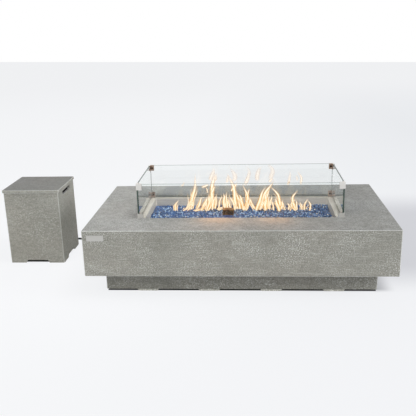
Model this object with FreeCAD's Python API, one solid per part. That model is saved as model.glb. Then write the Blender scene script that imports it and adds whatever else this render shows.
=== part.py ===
"""Low fire pit table in cast concrete, with its drop-in burner, wind guard, gas controls and tank cover.

Millimetres, +Z up. X runs along the table, from the tank cover on the left to the far end on the right.
The origin is on the floor, in the middle of the box round the table and the tank cover.
The table's pieces are drawn round the table's own centre and the cover's round its own, then moved apart.
"""
import FreeCAD, Part
import math
import os
import random

V = FreeCAD.Vector
UP = V(0, 0, 1)
DOWN = V(0, 0, -1)
RIGHT = V(1, 0, 0)
LEFT = V(-1, 0, 0)

# Cast table
table_length = 1800.0
table_depth = 1000.0
table_height = 411.0
apron_bottom = 134.0
shell_wall = 18.0
slab = 24.0
under_flange = 18.0
cast_corner = 7.0
cast_edge = 4.0

# Opening in the top, with the ledge that carries the burner pan
opening_length = 1235.0
opening_depth = 517.0
opening_corner = 4.0
rebate = 17.0
ledge = 27.0
rim_width = 20.0
rim_drop = 10.0

# Plinth and its feet
plinth_inset = 100.0
plinth_wall = 30.0
foot_height = 10.5
foot_length = 112.0
foot_slant = 8.0
foot_spacing = 366.0
side_foot_spacing = 366.0
hose_gate_width = 44.0
hose_gate_height = 34.0
hose_gate_y = 280.0

# Brackets between shell and plinth
bracket_width = 50.0
bracket_leg = 45.0
bracket_drop = 60.0
bracket_sheet = 5.0
bracket_x = 520.0
bracket_y = -150.0
bolt_radius = 4.0
bolt_head = 13.0
bolt_head_height = 5.5
bolt_bite = 13.0
bolt_clearance = 0.3

# Bare plate let into the front of the apron
plate_length = 99.0
plate_height = 34.5
plate_sheet = 1.5
plate_x = -823.5
plate_z = 366.8
plate_gap = 0.6

# Burner pan
pan_sheet = 2.0
pan_flange_gap = 1.5
pan_end_gap = 13.5
pan_side_gap = 4.5
pan_floor = 290.0
pan_corner = 10.0
drain_radius = 6.0
drain_inset = 40.0

# Burner loop and its feed
burner_length = 870.0
burner_width = 150.0
burner_corner = 45.0
burner_radius = 12.5
burner_wall = 2.0
burner_z = 318.0
port_radius = 2.0
port_spacing = 72.0
nipple_radius = 10.5
nipple_bore = 7.5
nipple_bottom = 232.0
socket_radius = 14.0
thread_gap = 0.1
locknut_width = 30.0
locknut_height = 8.0
mixer_radius = 15.0
mixer_bottom = 196.0
mixer_top = 246.0
mixer_neck = 8.0
mixer_neck_length = 10.0
air_hole = 5.0
orifice = 1.2

# Pilot
shield_left = -114.0
shield_width = 71.0
shield_front = 8.0
shield_depth = 50.0
shield_top = 378.0
shield_sheet = 1.5
window_width = 24.0
window_height = 13.0
electrode_x = -95.0
electrode_y = 44.0
electrode_radius = 3.5
electrode_top = 346.0
spark_radius = 1.0
spark_length = 12.0
probe_x = -62.0
probe_y = 22.0
probe_radius = 3.0
probe_top = 352.0
boot_radius = 5.0
boot_bottom = 268.0
boot_top = 284.0
lead_z = 276.0

# Glass media
bed_top = 343.0
bed_gap = 0.3
chip_columns = 27
chip_rows = 10
chip_radius = 9.0
chip_height = 9.0
chip_margin = 22.0

# Wind guard
guard_gap = 4.5
glass = 8.0
glass_height = 219.0
glass_joint = 1.0
clip_leg = 34.0
clip_height = 38.0
clip_plate = 2.5
clip_cap = 2.0
clip_gap = 0.3
clip_corner = 3.0
guard_foot = 1.5
guard_screw_radius = 2.5
guard_screw_head = 5.5
guard_screw_head_height = 3.0

# Controls on the left-hand end
control_length = 180.0
control_height = 92.0
control_sheet = 1.5
control_z = 262.0
cutout_length = 136.0
cutout_height = 60.0
screw_inset = 10.0
screw_radius = 2.0
screw_length = 14.0
screw_head = 4.0
screw_head_height = 2.0
knob_y = -42.0
valve_length = 62.0
valve_width = 36.0
valve_height = 40.0
bezel_radius = 12.0
bezel_nut_width = 30.0
bezel_nut_height = 4.0
collar_radius = 7.15
collar_start = 6.0
collar_length = 8.0
stem_radius = 4.0
running_gap = 0.05
push_travel = 3.0
knob_radius = 24.0
knob_length = 22.0
knob_gap = 0.5
igniter_y = 42.0
igniter_radius = 13.0
igniter_length = 64.0
igniter_bezel = 17.0
igniter_bezel_sheet = 3.0
igniter_nut_width = 34.0
igniter_nut_height = 6.0
button_radius = 10.0
button_length = 11.0
button_proud = 5.5
button_travel = 4.0
battery_radius = 7.2
battery_length = 50.0
spring_radius = 4.5
spring_wire = 0.3
spring_turns = 3
spring_gap = 0.3

# Gas tubes and leads under the pan
tube_radius = 5.0
tube_bend = 24.0
tube_lead = 46.0
flare_width = 17.0
flare_length = 14.0
wire_radius = 2.0
wire_bend = 20.0
probe_lead_radius = 1.5
clip_block = 12.0
clip_block_margin = 3.0
clip_block_start = -520.0
clip_block_spacing = 170.0
clip_block_count = 3
lead_straight = 50.0
wire_slope = 50.0
probe_lead_slope = 70.0
supply_straight = 55.0
supply_slope = 95.0
inlet_bend_x = 70.0
inlet_bend_y = 150.0
inlet_bend_rise = 20.0
outlet_z = 255.0
inlet_port_x = 42.0
port_boss = 8.0
port_boss_length = 10.0
sensor_port_radius = 4.8
sensor_port_length = 6.0
sensor_port_y = 10.0
sensor_port_drop = 4.0
supply_z = 150.0

# Gas inlet in the plinth, and the fittings on the hose
inlet_sheet = 4.0
inlet_plate_z = 183.0
inlet_plate_reach = 108.0
inlet_plate_width = 60.0
inlet_plate_bottom = 95.0
union_radius = 8.0
union_top = 205.0
union_bottom = 172.0
union_hex = 24.0
union_hex_height = 6.0
swivel_hex = 24.0
swivel_bottom = 146.0
ferrule_radius = 9.5
hose_radius = 7.0

# Tank cover
cover_wall = 15.0
cover_room = 14.8
cover_head_room = 30.7
cover_y = 225.0
cover_gap = 284.5
lid_overhang = 5.5
lid_thickness = 20.0
lid_bevel = 4.0
lid_edge = 3.0
lid_lip_gap = 4.0
lid_lip_wall = 10.0
lid_lip_depth = 12.0
lid_rest_gap = 0.3
hand_slot_length = 170.0
hand_slot_height = 26.0
hand_slot_below = 14.0
notch_top = 143.0
notch_bottom = 161.0
notch_height = 19.0

# Gas cylinder, with its outlet turned towards a corner of the cover
port_angle = 135.0
vessel_radius = 152.0
vessel_low = 100.0
vessel_high = 260.0
dome_height = 78.0
knuckle_radius = 50.0
seam = 1.2
seam_width = 12.0
foot_ring_radius = 101.0
ring_sheet = 3.0
foot_vent_radius = 9.0
collar_rim = 10.0
hand_hole_below = 14.0
weld_gap = 0.3
guard_ring_radius = 104.0
guard_ring_top = 457.0
guard_window = 96.0
guard_window_low = 340.0
guard_window_high = 412.0
hand_hole_length = 90.0
hand_hole_height = 30.0
outlet_axis = 374.0
valve_foot_radius = 20.0
valve_foot_top = 352.0
valve_barrel = 15.0
valve_barrel_top = 402.0
outlet_thread = 16.5
outlet_end = 58.0
relief_radius = 8.0
relief_end = 36.0
spindle_radius = 5.0
spindle_top = 430.0
wheel_radius = 30.0
wheel_low = 417.0
wheel_height = 15.0
wheel_lobes = 6
wheel_lobe_radius = 9.0
hand_nut_radius = 26.0
hand_nut_start = 48.0
hand_nut_length = 44.0
hand_nut_ribs = 12
hand_nut_clearance = 0.3
tailpiece_radius = 8.0
regulator_x = 150.0
regulator_radius = 34.0
regulator_bell = 29.0
regulator_low = 360.0
regulator_high = 392.0
regulator_flange = 5.0
elbow_x = 187.0
elbow_radius = 11.0
elbow_bottom = 352.0
elbow_top = 384.0
cap_radius = 15.0
cap_height = 7.0

# Places that follow from the sizes
cover_side = 2 * (vessel_radius + seam + cover_room + cover_wall)
cover_height = guard_ring_top + cover_head_room + lid_rest_gap + lid_thickness
lid_side = cover_side + 2 * lid_overhang
overall_length = lid_side + cover_gap + table_length
cover_x = -overall_length / 2 + lid_side / 2
table_x = overall_length / 2 - table_length / 2
left_face = -table_length / 2
front_face = -table_depth / 2
flange_top = apron_bottom + under_flange
ledge_z = table_height - rebate
pan_length = opening_length - 2 * (ledge + pan_end_gap + pan_sheet)
pan_width = opening_depth - 2 * (ledge + pan_side_gap + pan_sheet)
pan_top = ledge_z + pan_sheet
plinth_length = table_length - 2 * plinth_inset
plinth_depth = table_depth - 2 * plinth_inset
bay_length = plinth_length - 2 * plinth_wall
bay_depth = plinth_depth - 2 * plinth_wall
guard_length = opening_length - 2 * guard_gap
guard_depth = opening_depth - 2 * guard_gap
clip_low = pan_top + clip_gap + guard_foot
glass_low = clip_low + clip_cap + clip_gap
glass_top = glass_low + glass_height
clip_top = glass_top + clip_gap + clip_cap
box_top = cover_height - lid_thickness - lid_rest_gap
nut_end = hand_nut_start + hand_nut_length

# The hose's route from the regulator, out at the back of the cover and in under the table, in the part's frame
turn = math.radians(port_angle)
hose_exit = (cover_x + elbow_x * math.cos(turn), cover_y + elbow_x * math.sin(turn), 325.0)
inlet = (-362.5, 276.5)
hose_end_z = 118.0
hose_route = [
    hose_exit,
    (hose_exit[0], hose_exit[1], 248.0),
    (-1177.5, 359.5, 160.0),
    (-1176.0, 359.0, 73.0),
    (-1152.1, 361.1, 31.4),
    (-1110.7, 364.7, 7.0),
    (-1057.0, 377.0, 7.0),
    (-1016.0, 411.0, 7.0),
    (-990.0, 452.0, 7.0),
    (-955.0, 486.0, 7.0),
    (-908.0, 504.0, 7.0),
    (-850.0, 500.0, 7.0),
    (-788.0, 477.0, 7.0),
    (-714.0, 437.0, 7.0),
    (-636.0, 384.0, 7.0),
    (-566.0, 329.0, 7.0),
    (-516.0, 296.0, 7.0),
    (-470.0, 281.0, 7.0),
    (-428.0, 278.0, 7.0),
    (-386.5, 277.0, 31.0),
    (-362.5, 276.5, 72.6),
    (inlet[0], inlet[1], hose_end_z),
]


def block(x0, x1, y0, y1, z0, z1):
    """A box between two corners."""
    return Part.makeBox(x1 - x0, y1 - y0, z1 - z0, V(x0, y0, z0))


def centred(length, depth, z0, z1, x=0.0, y=0.0):
    """A box centred on a point in plan."""
    return block(x - length / 2, x + length / 2, y - depth / 2, y + depth / 2, z0, z1)


def round_outline(length, depth, corner, z):
    """A rectangle with round corners, as a closed wire."""
    hx, hy = length / 2, depth / 2
    edges = []
    for i in range(4):
        sx = (1, -1, -1, 1)[i]
        sy = (1, 1, -1, -1)[i]
        centre = V(sx * (hx - corner), sy * (hy - corner), z)
        start = math.radians(90 * i)
        spots = [centre + V(math.cos(start + a) * corner, math.sin(start + a) * corner, 0)
                 for a in (0, math.pi / 4, math.pi / 2)]
        edges.append(spots)
    out = []
    for i in range(4):
        out.append(Part.Arc(*edges[i]).toShape())
        out.append(Part.LineSegment(edges[i][2], edges[(i + 1) % 4][0]).toShape())
    return Part.Wire(out)


def round_block(length, depth, z0, z1, corner):
    """A centred box with round upright corners."""
    return Part.Face(round_outline(length, depth, corner, z0)).extrude(V(0, 0, z1 - z0))


def rod(radius, start, end):
    """A round bar between two points."""
    a, b = V(*start), V(*end)
    return Part.makeCylinder(radius, (b - a).Length, a, b - a)


def hex_bar(width, start, end):
    """A hexagonal bar between two points, width across flats."""
    a, b = V(*start), V(*end)
    along = (b - a).normalize()
    side = along.cross(UP if abs(along.z) < 0.9 else RIGHT).normalize()
    other = along.cross(side)
    reach = width / math.sqrt(3)
    corners = [a + side * (reach * math.cos(math.radians(60 * i)))
               + other * (reach * math.sin(math.radians(60 * i))) for i in range(7)]
    return Part.Face(Part.makePolygon(corners)).extrude(V(*end) - V(*start))


def turned(profile, centre=(0.0, 0.0)):
    """A solid of revolution about an upright axis, from (radius, height) points."""
    points = [V(centre[0] + r, centre[1], z) for r, z in profile]
    face = Part.Face(Part.makePolygon(points + points[:1]))
    return face.revolve(V(centre[0], centre[1], 0), UP, 360)


def lying(shape, x, y, z):
    """Lays a shape drawn up the Z axis down along X, pointing left, and puts its foot at a point."""
    out = shape.copy()
    out.rotate(V(0, 0, 0), V(0, 1, 0), -90)
    out.translate(V(x, y, z))
    return out


def joined(shapes):
    """One solid from several that touch or overlap."""
    return shapes[0].multiFuse(shapes[1:]).removeSplitter()


def pieces(shapes):
    """Several separate solids kept side by side."""
    return Part.makeCompound(shapes)


def softened(shape, radius, test):
    """Rounds the edges whose centre passes a test."""
    picked = [e for e in shape.Edges if test(e.CenterOfMass, e)]
    return shape.makeFillet(radius, picked)


def bent_path(points, bend=None):
    """Straight runs joined by tangent arcs. With no bend given, each arc is as large as its runs allow."""
    spots = [V(*p) for p in points]
    edges = []
    radii = []
    last = spots[0]
    for before, corner, after in zip(spots, spots[1:], spots[2:]):
        back = before - corner
        on = after - corner
        half = (math.pi - back.getAngle(on)) / 2
        reach = bend * math.tan(half) if bend else 0.45 * min(back.Length, on.Length)
        radius = reach / math.tan(half)
        back.normalize()
        on.normalize()
        start = corner + back * reach
        end = corner + on * reach
        middle = corner + (back + on).normalize() * (radius / math.cos(half) - radius)
        edges.append(Part.LineSegment(last, start).toShape())
        edges.append(Part.Arc(start, middle, end).toShape())
        radii.append(radius)
        last = end
    edges.append(Part.LineSegment(last, spots[-1]).toShape())
    return Part.Wire(edges), radii


def swept(path, radius):
    """A round bar along a path that starts with a straight run or an arc."""
    first = path.OrderedEdges[0]
    start = first.valueAt(first.FirstParameter)
    ring = Part.Wire(Part.makeCircle(radius, start, first.tangentAt(first.FirstParameter)))
    return path.makePipeShell([ring], True, False)


def bent_bar(points, radius, bend):
    """A round tube, drawn solid, along a hand-set route."""
    return swept(bent_path(points, bend)[0], radius)


# Concrete

def bolt_places():
    """Angle and place of each shell bracket on the inside of the plinth."""
    places = []
    for x in (-bracket_x, bracket_x):
        places.append((90.0, x, -bay_depth / 2))
        places.append((-90.0, x, bay_depth / 2))
    places.append((0.0, -bay_length / 2, bracket_y))
    places.append((180.0, bay_length / 2, bracket_y))
    return places


def on_bay_wall(shape, angle, x, y):
    """Turns a shape drawn on a wall that faces +X and puts it on one of the bay's walls."""
    out = shape.copy()
    out.rotate(V(0, 0, 0), UP, angle)
    out.translate(V(x, y, 0))
    return out


def bracket_bolt_axes():
    """Start of each bolt of one bracket under its head, and the way it points."""
    return [((-bracket_leg / 2, 0, flange_top + bracket_sheet), DOWN),
            ((bracket_sheet, 0, apron_bottom - bracket_drop / 2 + 5), LEFT)]


def bolt(start, way, grow=0.0, with_head=True):
    """A hex bolt whose head sits at a point, or with grow its hole."""
    foot = V(*start)
    tip = foot + way * (bracket_sheet + bolt_bite + grow)
    shank = rod(bolt_radius + grow, foot, tip)
    if not with_head:
        return shank
    return joined([shank, hex_bar(bolt_head, foot, foot - way * bolt_head_height)])


def table_shell():
    """Top, apron and bottom flange in one casting, hollow, with the burner opening and its ledge."""
    body = round_block(table_length, table_depth, apron_bottom, table_height, cast_corner)
    body = softened(body, cast_edge, lambda c, e: c.z > table_height - 0.1 or c.z < apron_bottom + 0.1)
    hollow = centred(table_length - 2 * shell_wall, table_depth - 2 * shell_wall,
                     flange_top, table_height - slab)
    rim = centred(opening_length + 2 * rim_width, opening_depth + 2 * rim_width,
                  table_height - slab - rim_drop, table_height - slab)
    body = body.cut(hollow).fuse(rim)
    cuts = [round_block(opening_length, opening_depth, ledge_z, table_height + 1, opening_corner),
            centred(opening_length - 2 * ledge, opening_depth - 2 * ledge, 0, table_height),
            centred(bay_length, bay_depth, apron_bottom - 1, flange_top + 1),
            block(left_face - 1, left_face + shell_wall + 1, -cutout_length / 2, cutout_length / 2,
                  control_z - cutout_height / 2, control_z + cutout_height / 2),
            block(plate_x - plate_length / 2 - plate_gap, plate_x + plate_length / 2 + plate_gap,
                  front_face - 1, front_face + plate_sheet,
                  plate_z - plate_height / 2 - plate_gap, plate_z + plate_height / 2 + plate_gap)]
    cuts += [rod(screw_radius + thread_gap, (left_face - 1, y, z), (left_face + screw_length, y, z))
             for y, z in screw_places()]
    foot, way = bracket_bolt_axes()[0]
    cuts += [on_bay_wall(bolt(foot, way, bolt_clearance, False), *place) for place in bolt_places()]
    body = body.cut(cuts)
    return softened(body, cast_edge / 2, lambda c, e: abs(c.z - table_height) < 0.01
                    and abs(c.x) < opening_length / 2 + 1 and abs(c.y) < opening_depth / 2 + 1
                    and e.Length > 100)


def base_plinth():
    """Open ring that the shell stands on, with an arched gate for the hose."""
    ring = round_block(plinth_length, plinth_depth, foot_height, apron_bottom, cast_corner)
    ring = softened(ring, cast_edge / 2, lambda c, e: c.z < foot_height + 0.1)
    radius = hose_gate_width / 2
    spring_line = hose_gate_height - radius
    outside = -plinth_length / 2 - 1
    inside = -bay_length / 2 + 1
    gate = [block(outside, inside, hose_gate_y - radius, hose_gate_y + radius, 0, spring_line),
            rod(radius, (outside, hose_gate_y, spring_line), (inside, hose_gate_y, spring_line))]
    foot, way = bracket_bolt_axes()[1]
    holes = [on_bay_wall(bolt(foot, way, bolt_clearance, False), *place) for place in bolt_places()]
    holes += [bolt(foot, way, bolt_clearance, False) for foot, way in inlet_bolt_axes()]
    return ring.cut([centred(bay_length, bay_depth, 0, apron_bottom + 1)] + gate + holes)


def plinth_foot(x, y, along_x):
    """One low cast foot under the plinth, with slanted ends."""
    top = foot_length / 2 + foot_slant
    low = foot_length / 2
    outline = [V(-top, 0, foot_height), V(-low, 0, 0), V(low, 0, 0), V(top, 0, foot_height)]
    foot = Part.Face(Part.makePolygon(outline + outline[:1])).extrude(V(0, plinth_wall, 0))
    foot.translate(V(0, -plinth_wall / 2, 0))
    if not along_x:
        foot.rotate(V(0, 0, 0), UP, 90)
    foot.translate(V(x, y, 0))
    return foot


def plinth_feet():
    """Four feet along each long side and two along each end."""
    feet = []
    for side in (-1, 1):
        y = side * (plinth_depth - plinth_wall) / 2
        x = side * (plinth_length - plinth_wall) / 2
        feet += [plinth_foot((i - 1.5) * foot_spacing, y, True) for i in range(4)]
        feet += [plinth_foot(x, (i - 0.5) * side_foot_spacing, False) for i in range(2)]
    return pieces(feet)


def shell_brackets():
    """Angle brackets that tie the shell's flange to the plinth."""
    half = bracket_width / 2
    upright = block(0, bracket_sheet, -half, half, apron_bottom - bracket_drop, flange_top + bracket_sheet)
    flat = block(-bracket_leg, bracket_sheet, -half, half, flange_top, flange_top + bracket_sheet)
    angle = joined([upright, flat])
    angle = softened(angle, bracket_sheet - 0.5, lambda c, e: abs(c.x - bracket_sheet) < 0.1
                     and abs(c.z - flange_top - bracket_sheet) < 0.1)
    angle = angle.cut([bolt(foot, way, bolt_clearance, False) for foot, way in bracket_bolt_axes()])
    return pieces([on_bay_wall(angle, *place) for place in bolt_places()])


def bracket_bolts():
    """Hex bolts of the shell brackets and of the inlet bracket."""
    bolts = [on_bay_wall(bolt(foot, way), *place)
             for place in bolt_places() for foot, way in bracket_bolt_axes()]
    return pieces(bolts + [bolt(foot, way) for foot, way in inlet_bolt_axes()])


def name_plate():
    """Bare metal plate, flush in its pocket on the front."""
    plate = block(plate_x - plate_length / 2, plate_x + plate_length / 2, front_face,
                  front_face + plate_sheet, plate_z - plate_height / 2, plate_z + plate_height / 2)
    return softened(plate, 1.5, lambda c, e: abs(e.Length - plate_sheet) < 0.01)


# Burner

def pan_rim():
    """Frame that rests on the opening's ledge, welded round the mouth of the pan."""
    frame = round_block(opening_length - 2 * pan_flange_gap, opening_depth - 2 * pan_flange_gap,
                        ledge_z, pan_top, opening_corner - pan_flange_gap)
    return frame.cut(round_block(pan_length, pan_width, ledge_z - 1, pan_top + 1, pan_corner))


def burner_pan():
    """Pan of folded sheet that hangs from its rim."""
    tub = round_block(pan_length + 2 * pan_sheet, pan_width + 2 * pan_sheet, pan_floor - pan_sheet,
                      ledge_z, pan_corner + pan_sheet)
    inside = round_block(pan_length, pan_width, pan_floor, pan_top + 1, pan_corner)
    holes = [rod(nipple_radius + bolt_clearance, (0, 0, pan_floor - 5), (0, 0, pan_floor + 5))]
    for x, y, radius in ((electrode_x, electrode_y, electrode_radius), (probe_x, probe_y, probe_radius)):
        holes.append(rod(radius + bolt_clearance, (x, y, pan_floor - 5), (x, y, pan_floor + 5)))
    for sx in (-1, 1):
        for sy in (-1, 1):
            x = sx * (pan_length / 2 - drain_inset)
            y = sy * (pan_width / 2 - drain_inset)
            holes.append(rod(drain_radius, (x, y, pan_floor - 5), (x, y, pan_floor + 5)))
    return tub.cut([inside] + holes)


def burner_outer(radius):
    """The loop and its cross tube as solid bars of one radius."""
    loop = swept(round_outline(burner_length, burner_width, burner_corner, burner_z), radius)
    cross = rod(radius, (0, -burner_width / 2, burner_z), (0, burner_width / 2, burner_z))
    return [loop, cross]


def burner_ring():
    """Ported loop burner with a cross tube and a socket for its nipple."""
    socket = rod(socket_radius, (0, 0, pan_floor), (0, 0, burner_z - burner_radius / 2))
    solid = joined(burner_outer(burner_radius) + [socket])
    hollow = burner_outer(burner_radius - burner_wall)
    bore = rod(nipple_radius + thread_gap, (0, 0, pan_floor - 1), (0, 0, burner_z - burner_radius))
    feed = rod(nipple_bore, (0, 0, pan_floor), (0, 0, burner_z))
    count = int((burner_length - 2 * burner_corner) / port_spacing)
    ports = []
    for side in (-1, 1):
        for i in range(count):
            x = (i - (count - 1) / 2) * port_spacing
            y = side * burner_width / 2
            ports.append(rod(port_radius, (x, y, burner_z), (x, y, burner_z + burner_radius + 1)))
    return solid.cut(hollow + [bore, feed]).cut(ports)


def burner_nipple():
    """Threaded pipe through the pan's floor, from the mixer up into the burner's socket."""
    top = burner_z - burner_radius - 2
    outer = rod(nipple_radius, (0, 0, nipple_bottom), (0, 0, top))
    return outer.cut(rod(nipple_bore, (0, 0, nipple_bottom - 1), (0, 0, top + 1)))


def pan_locknut():
    """Nut under the pan's floor that pulls the burner's socket down on it."""
    top = pan_floor - pan_sheet
    nut = hex_bar(locknut_width, (0, 0, top - locknut_height), (0, 0, top))
    return nut.cut(rod(nipple_radius + thread_gap, (0, 0, 0), (0, 0, top + 1)))


def air_mixer():
    """Venturi below the burner: gas jet at the foot, air holes above it, nipple at the top."""
    body = joined([rod(mixer_radius, (0, 0, mixer_bottom), (0, 0, mixer_top)),
                   rod(mixer_neck, (0, 0, mixer_bottom - mixer_neck_length), (0, 0, mixer_bottom + 1))])
    chamber = rod(nipple_bore, (0, 0, mixer_bottom + 5), (0, 0, mixer_top))
    seat = rod(nipple_radius + thread_gap, (0, 0, nipple_bottom), (0, 0, mixer_top + 1))
    jet = rod(orifice, (0, 0, mixer_bottom - mixer_neck_length - 1), (0, 0, mixer_top))
    air_z = (mixer_bottom + nipple_bottom) / 2
    air = [rod(air_hole, (-mixer_radius - 1, 0, air_z), (mixer_radius + 1, 0, air_z)),
           rod(air_hole, (0, -mixer_radius - 1, air_z), (0, mixer_radius + 1, air_z))]
    return body.cut([chamber, seat, jet] + air)


def pilot_shield():
    """Folded sheet hood over the pilot, open below, with windows in front and slots on top."""
    right = shield_left + shield_width
    back = shield_front + shield_depth
    hood = block(shield_left, right, shield_front, back, pan_floor, shield_top)
    hood = softened(hood, 3.0, lambda c, e: e.Length > 60 and c.z > pan_floor + 1)
    inside = block(shield_left + shield_sheet, right - shield_sheet, shield_front + shield_sheet,
                   back - shield_sheet, pan_floor - 1, shield_top - shield_sheet)
    middle = shield_left + shield_width / 2
    cuts = [inside]
    for side in (-1, 1):
        x = middle + side * window_width * 0.65
        cuts.append(block(x - window_width / 2, x + window_width / 2, shield_front - 1, shield_front + 5,
                          shield_top - 8 - window_height, shield_top - 8))
        cuts.append(block(shield_left + shield_width / 2 + side * shield_width / 2 - 5,
                          shield_left + shield_width / 2 + side * shield_width / 2 + 5,
                          shield_front + 15, back - 15, shield_top - 22, shield_top - 10))
    for i in (-1, 0, 1):
        cuts.append(centred(shield_width * 0.6, 4, shield_top - 5, shield_top + 1, middle,
                            shield_front + shield_depth / 2 + i * 12))
    return hood.cut(cuts)


def igniter_electrode():
    """Ceramic electrode with its spark wire, and a boot for the lead below the pan."""
    x, y = electrode_x, electrode_y
    tip = (x, y, electrode_top + spark_length)
    return joined([rod(electrode_radius, (x, y, boot_bottom + 1), (x, y, electrode_top)),
                   rod(spark_radius, (x, y, electrode_top - 1), tip),
                   rod(spark_radius, tip, (x + spark_length, y, tip[2])),
                   rod(boot_radius, (x, y, boot_bottom), (x, y, boot_top))])


def thermocouple():
    """Flame sensor beside the electrode."""
    x, y = probe_x, probe_y
    return joined([rod(probe_radius, (x, y, boot_bottom + 1), (x, y, probe_top)),
                   rod(probe_radius * 0.6, (x, y, probe_top - 1), (x, y, probe_top + 8)),
                   rod(boot_radius, (x, y, boot_bottom), (x, y, boot_top))])


def fire_glass_bed():
    """Body of the glass media, packed round the burner and the pilot's hood."""
    bed = round_block(pan_length - 2 * bed_gap, pan_width - 2 * bed_gap, pan_floor, bed_top,
                      pan_corner - bed_gap)
    gap = bed_gap
    cuts = burner_outer(burner_radius + gap)
    cuts.append(rod(socket_radius + gap, (0, 0, pan_floor - 1), (0, 0, burner_z)))
    cuts.append(block(shield_left - gap, shield_left + shield_width + gap, shield_front - gap,
                      shield_front + shield_depth + gap, pan_floor - 1, bed_top + 1))
    return bed.cut(cuts)


def glass_chip(dice, x, y, z):
    """One loose chip: a four-sided base, and a smaller tilted top over it."""
    start = dice.uniform(0, math.pi / 2)
    low = []
    high = []
    height = chip_height * dice.uniform(0.6, 1.1)
    tilt_x = dice.uniform(-0.25, 0.25)
    tilt_y = dice.uniform(-0.25, 0.25)
    for i in range(4):
        angle = start + math.pi / 2 * i + dice.uniform(-0.3, 0.3)
        reach = chip_radius * dice.uniform(0.7, 1.1)
        dx = reach * math.cos(angle)
        dy = reach * math.sin(angle)
        low.append(V(x + dx, y + dy, z))
        dx *= 0.6
        dy *= 0.6
        high.append(V(x + dx, y + dy, z + height + tilt_x * dx + tilt_y * dy))
    faces = [Part.Face(Part.makePolygon(low + low[:1])), Part.Face(Part.makePolygon(high + high[:1]))]
    for i in range(4):
        j = (i + 1) % 4
        faces.append(Part.Face(Part.makePolygon([low[i], low[j], high[j], low[i]])))
        faces.append(Part.Face(Part.makePolygon([low[i], high[j], high[i], low[i]])))
    chip = Part.Solid(Part.Shell(faces))
    if chip.Volume < 0:
        chip.reverse()
    return chip


def fire_glass_chips():
    """Loose chips on the bed, on a jittered grid that leaves the pilot's hood clear."""
    dice = random.Random(11)
    step_x = (pan_length - 2 * chip_margin) / (chip_columns - 1)
    step_y = (pan_width - 2 * chip_margin) / (chip_rows - 1)
    reach = chip_radius * 1.1
    play_x = step_x / 2 - reach - 1
    play_y = step_y / 2 - reach - 1
    chips = []
    for i in range(chip_columns):
        for j in range(chip_rows):
            x = -pan_length / 2 + chip_margin + i * step_x
            y = -pan_width / 2 + chip_margin + j * step_y
            if 0 < i < chip_columns - 1:
                x += dice.uniform(-play_x, play_x)
            if 0 < j < chip_rows - 1:
                y += dice.uniform(-play_y, play_y)
            in_hood = (shield_left - reach < x < shield_left + shield_width + reach
                       and shield_front - reach < y < shield_front + shield_depth + reach)
            if not in_hood:
                chips.append(glass_chip(dice, x, y, bed_top))
    return pieces(chips)


# Wind guard

def guard_pane(side):
    """One glass pane. The end panes run the full depth, the long ones fit between them."""
    if side in ("left", "right"):
        sign = -1 if side == "left" else 1
        x = sign * (guard_length - glass) / 2
        pane = centred(glass, guard_depth, glass_low, glass_top, x, 0)
    else:
        sign = -1 if side == "front" else 1
        y = sign * (guard_depth - glass) / 2
        pane = centred(guard_length - 2 * (glass + glass_joint), glass, glass_low, glass_top, 0, y)
    return pane


def corner_l(outer, leg, thick, z0, z1):
    """An L in plan, its outer corner at (outer, outer) from a guard corner, legs going inwards."""
    a = block(outer - leg, outer, outer - thick, outer, z0, z1)
    b = block(outer - thick, outer, outer - leg, outer, z0, z1)
    return joined([a, b])


def screw_spots(z):
    """Head and tip of each pinching screw of one clip."""
    inner = -glass - clip_gap - clip_plate
    along = (inner + clip_plate + clip_gap - clip_leg) / 2
    return [((along, inner, z), (along, inner + clip_plate, z)),
            ((inner, along, z), (inner + clip_plate, along, z))]


def corner_clip(z0, z1, cap_low):
    """One satin clip over a guard corner: plates inside and outside the glass, joined by a cap."""
    thick = clip_plate + clip_gap + glass + clip_gap + clip_plate
    body = corner_l(clip_plate + clip_gap, clip_leg, thick, z0, z1)
    body = softened(body, clip_corner, lambda c, e: abs(c.x - clip_plate - clip_gap) < 0.01
                    and abs(c.y - clip_plate - clip_gap) < 0.01)
    slot0 = z0 - 1 if not cap_low else z0 + clip_cap
    slot1 = z1 + 1 if cap_low else z1 - clip_cap
    slot = corner_l(clip_gap, clip_leg + 10, glass + 2 * clip_gap, slot0, slot1)
    holes = []
    for start, end in screw_spots((z0 + z1) / 2):
        lead = (V(*end) - V(*start)).normalize()
        holes.append(rod(guard_screw_radius + 0.1, V(*start) - lead, V(*end) + lead * 0.5))
    return body.cut([slot] + holes)


def clip_screws(z):
    """The two pinching screws of one clip, flat heads on the inside."""
    screws = []
    for start, end in screw_spots(z):
        a, b = V(*start), V(*end)
        lead = (b - a).normalize()
        head = rod(guard_screw_head, a - lead * guard_screw_head_height, a)
        driver = hex_bar(guard_screw_radius * 1.6, a - lead * (guard_screw_head_height + 1),
                         a - lead * (guard_screw_head_height / 2))
        screws.append(joined([head, rod(guard_screw_radius, a, b)]).cut(driver))
    return screws


def at_corners(shape):
    """Copies a shape drawn at the back right guard corner to all four."""
    out = []
    for sx in (1, -1):
        for sy in (1, -1):
            matrix = FreeCAD.Matrix()
            matrix.A11 = sx
            matrix.A22 = sy
            matrix.A14 = sx * guard_length / 2
            matrix.A24 = sy * guard_depth / 2
            out.append(shape.transformGeometry(matrix) if sx * sy < 0 else turned_to(shape, sx, sy))
    return out


def turned_to(shape, sx, sy):
    """Moves a shape to a corner, with half a turn where both signs are negative."""
    out = shape.copy()
    if sx < 0:
        out.rotate(V(0, 0, 0), UP, 180)
    out.translate(V(sx * guard_length / 2, sy * guard_depth / 2, 0))
    return out


def guard_clips_top():
    return pieces(at_corners(corner_clip(clip_top - clip_height, clip_top, False)))


def guard_clips_bottom():
    return pieces(at_corners(corner_clip(clip_low, clip_low + clip_height, True)))


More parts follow.
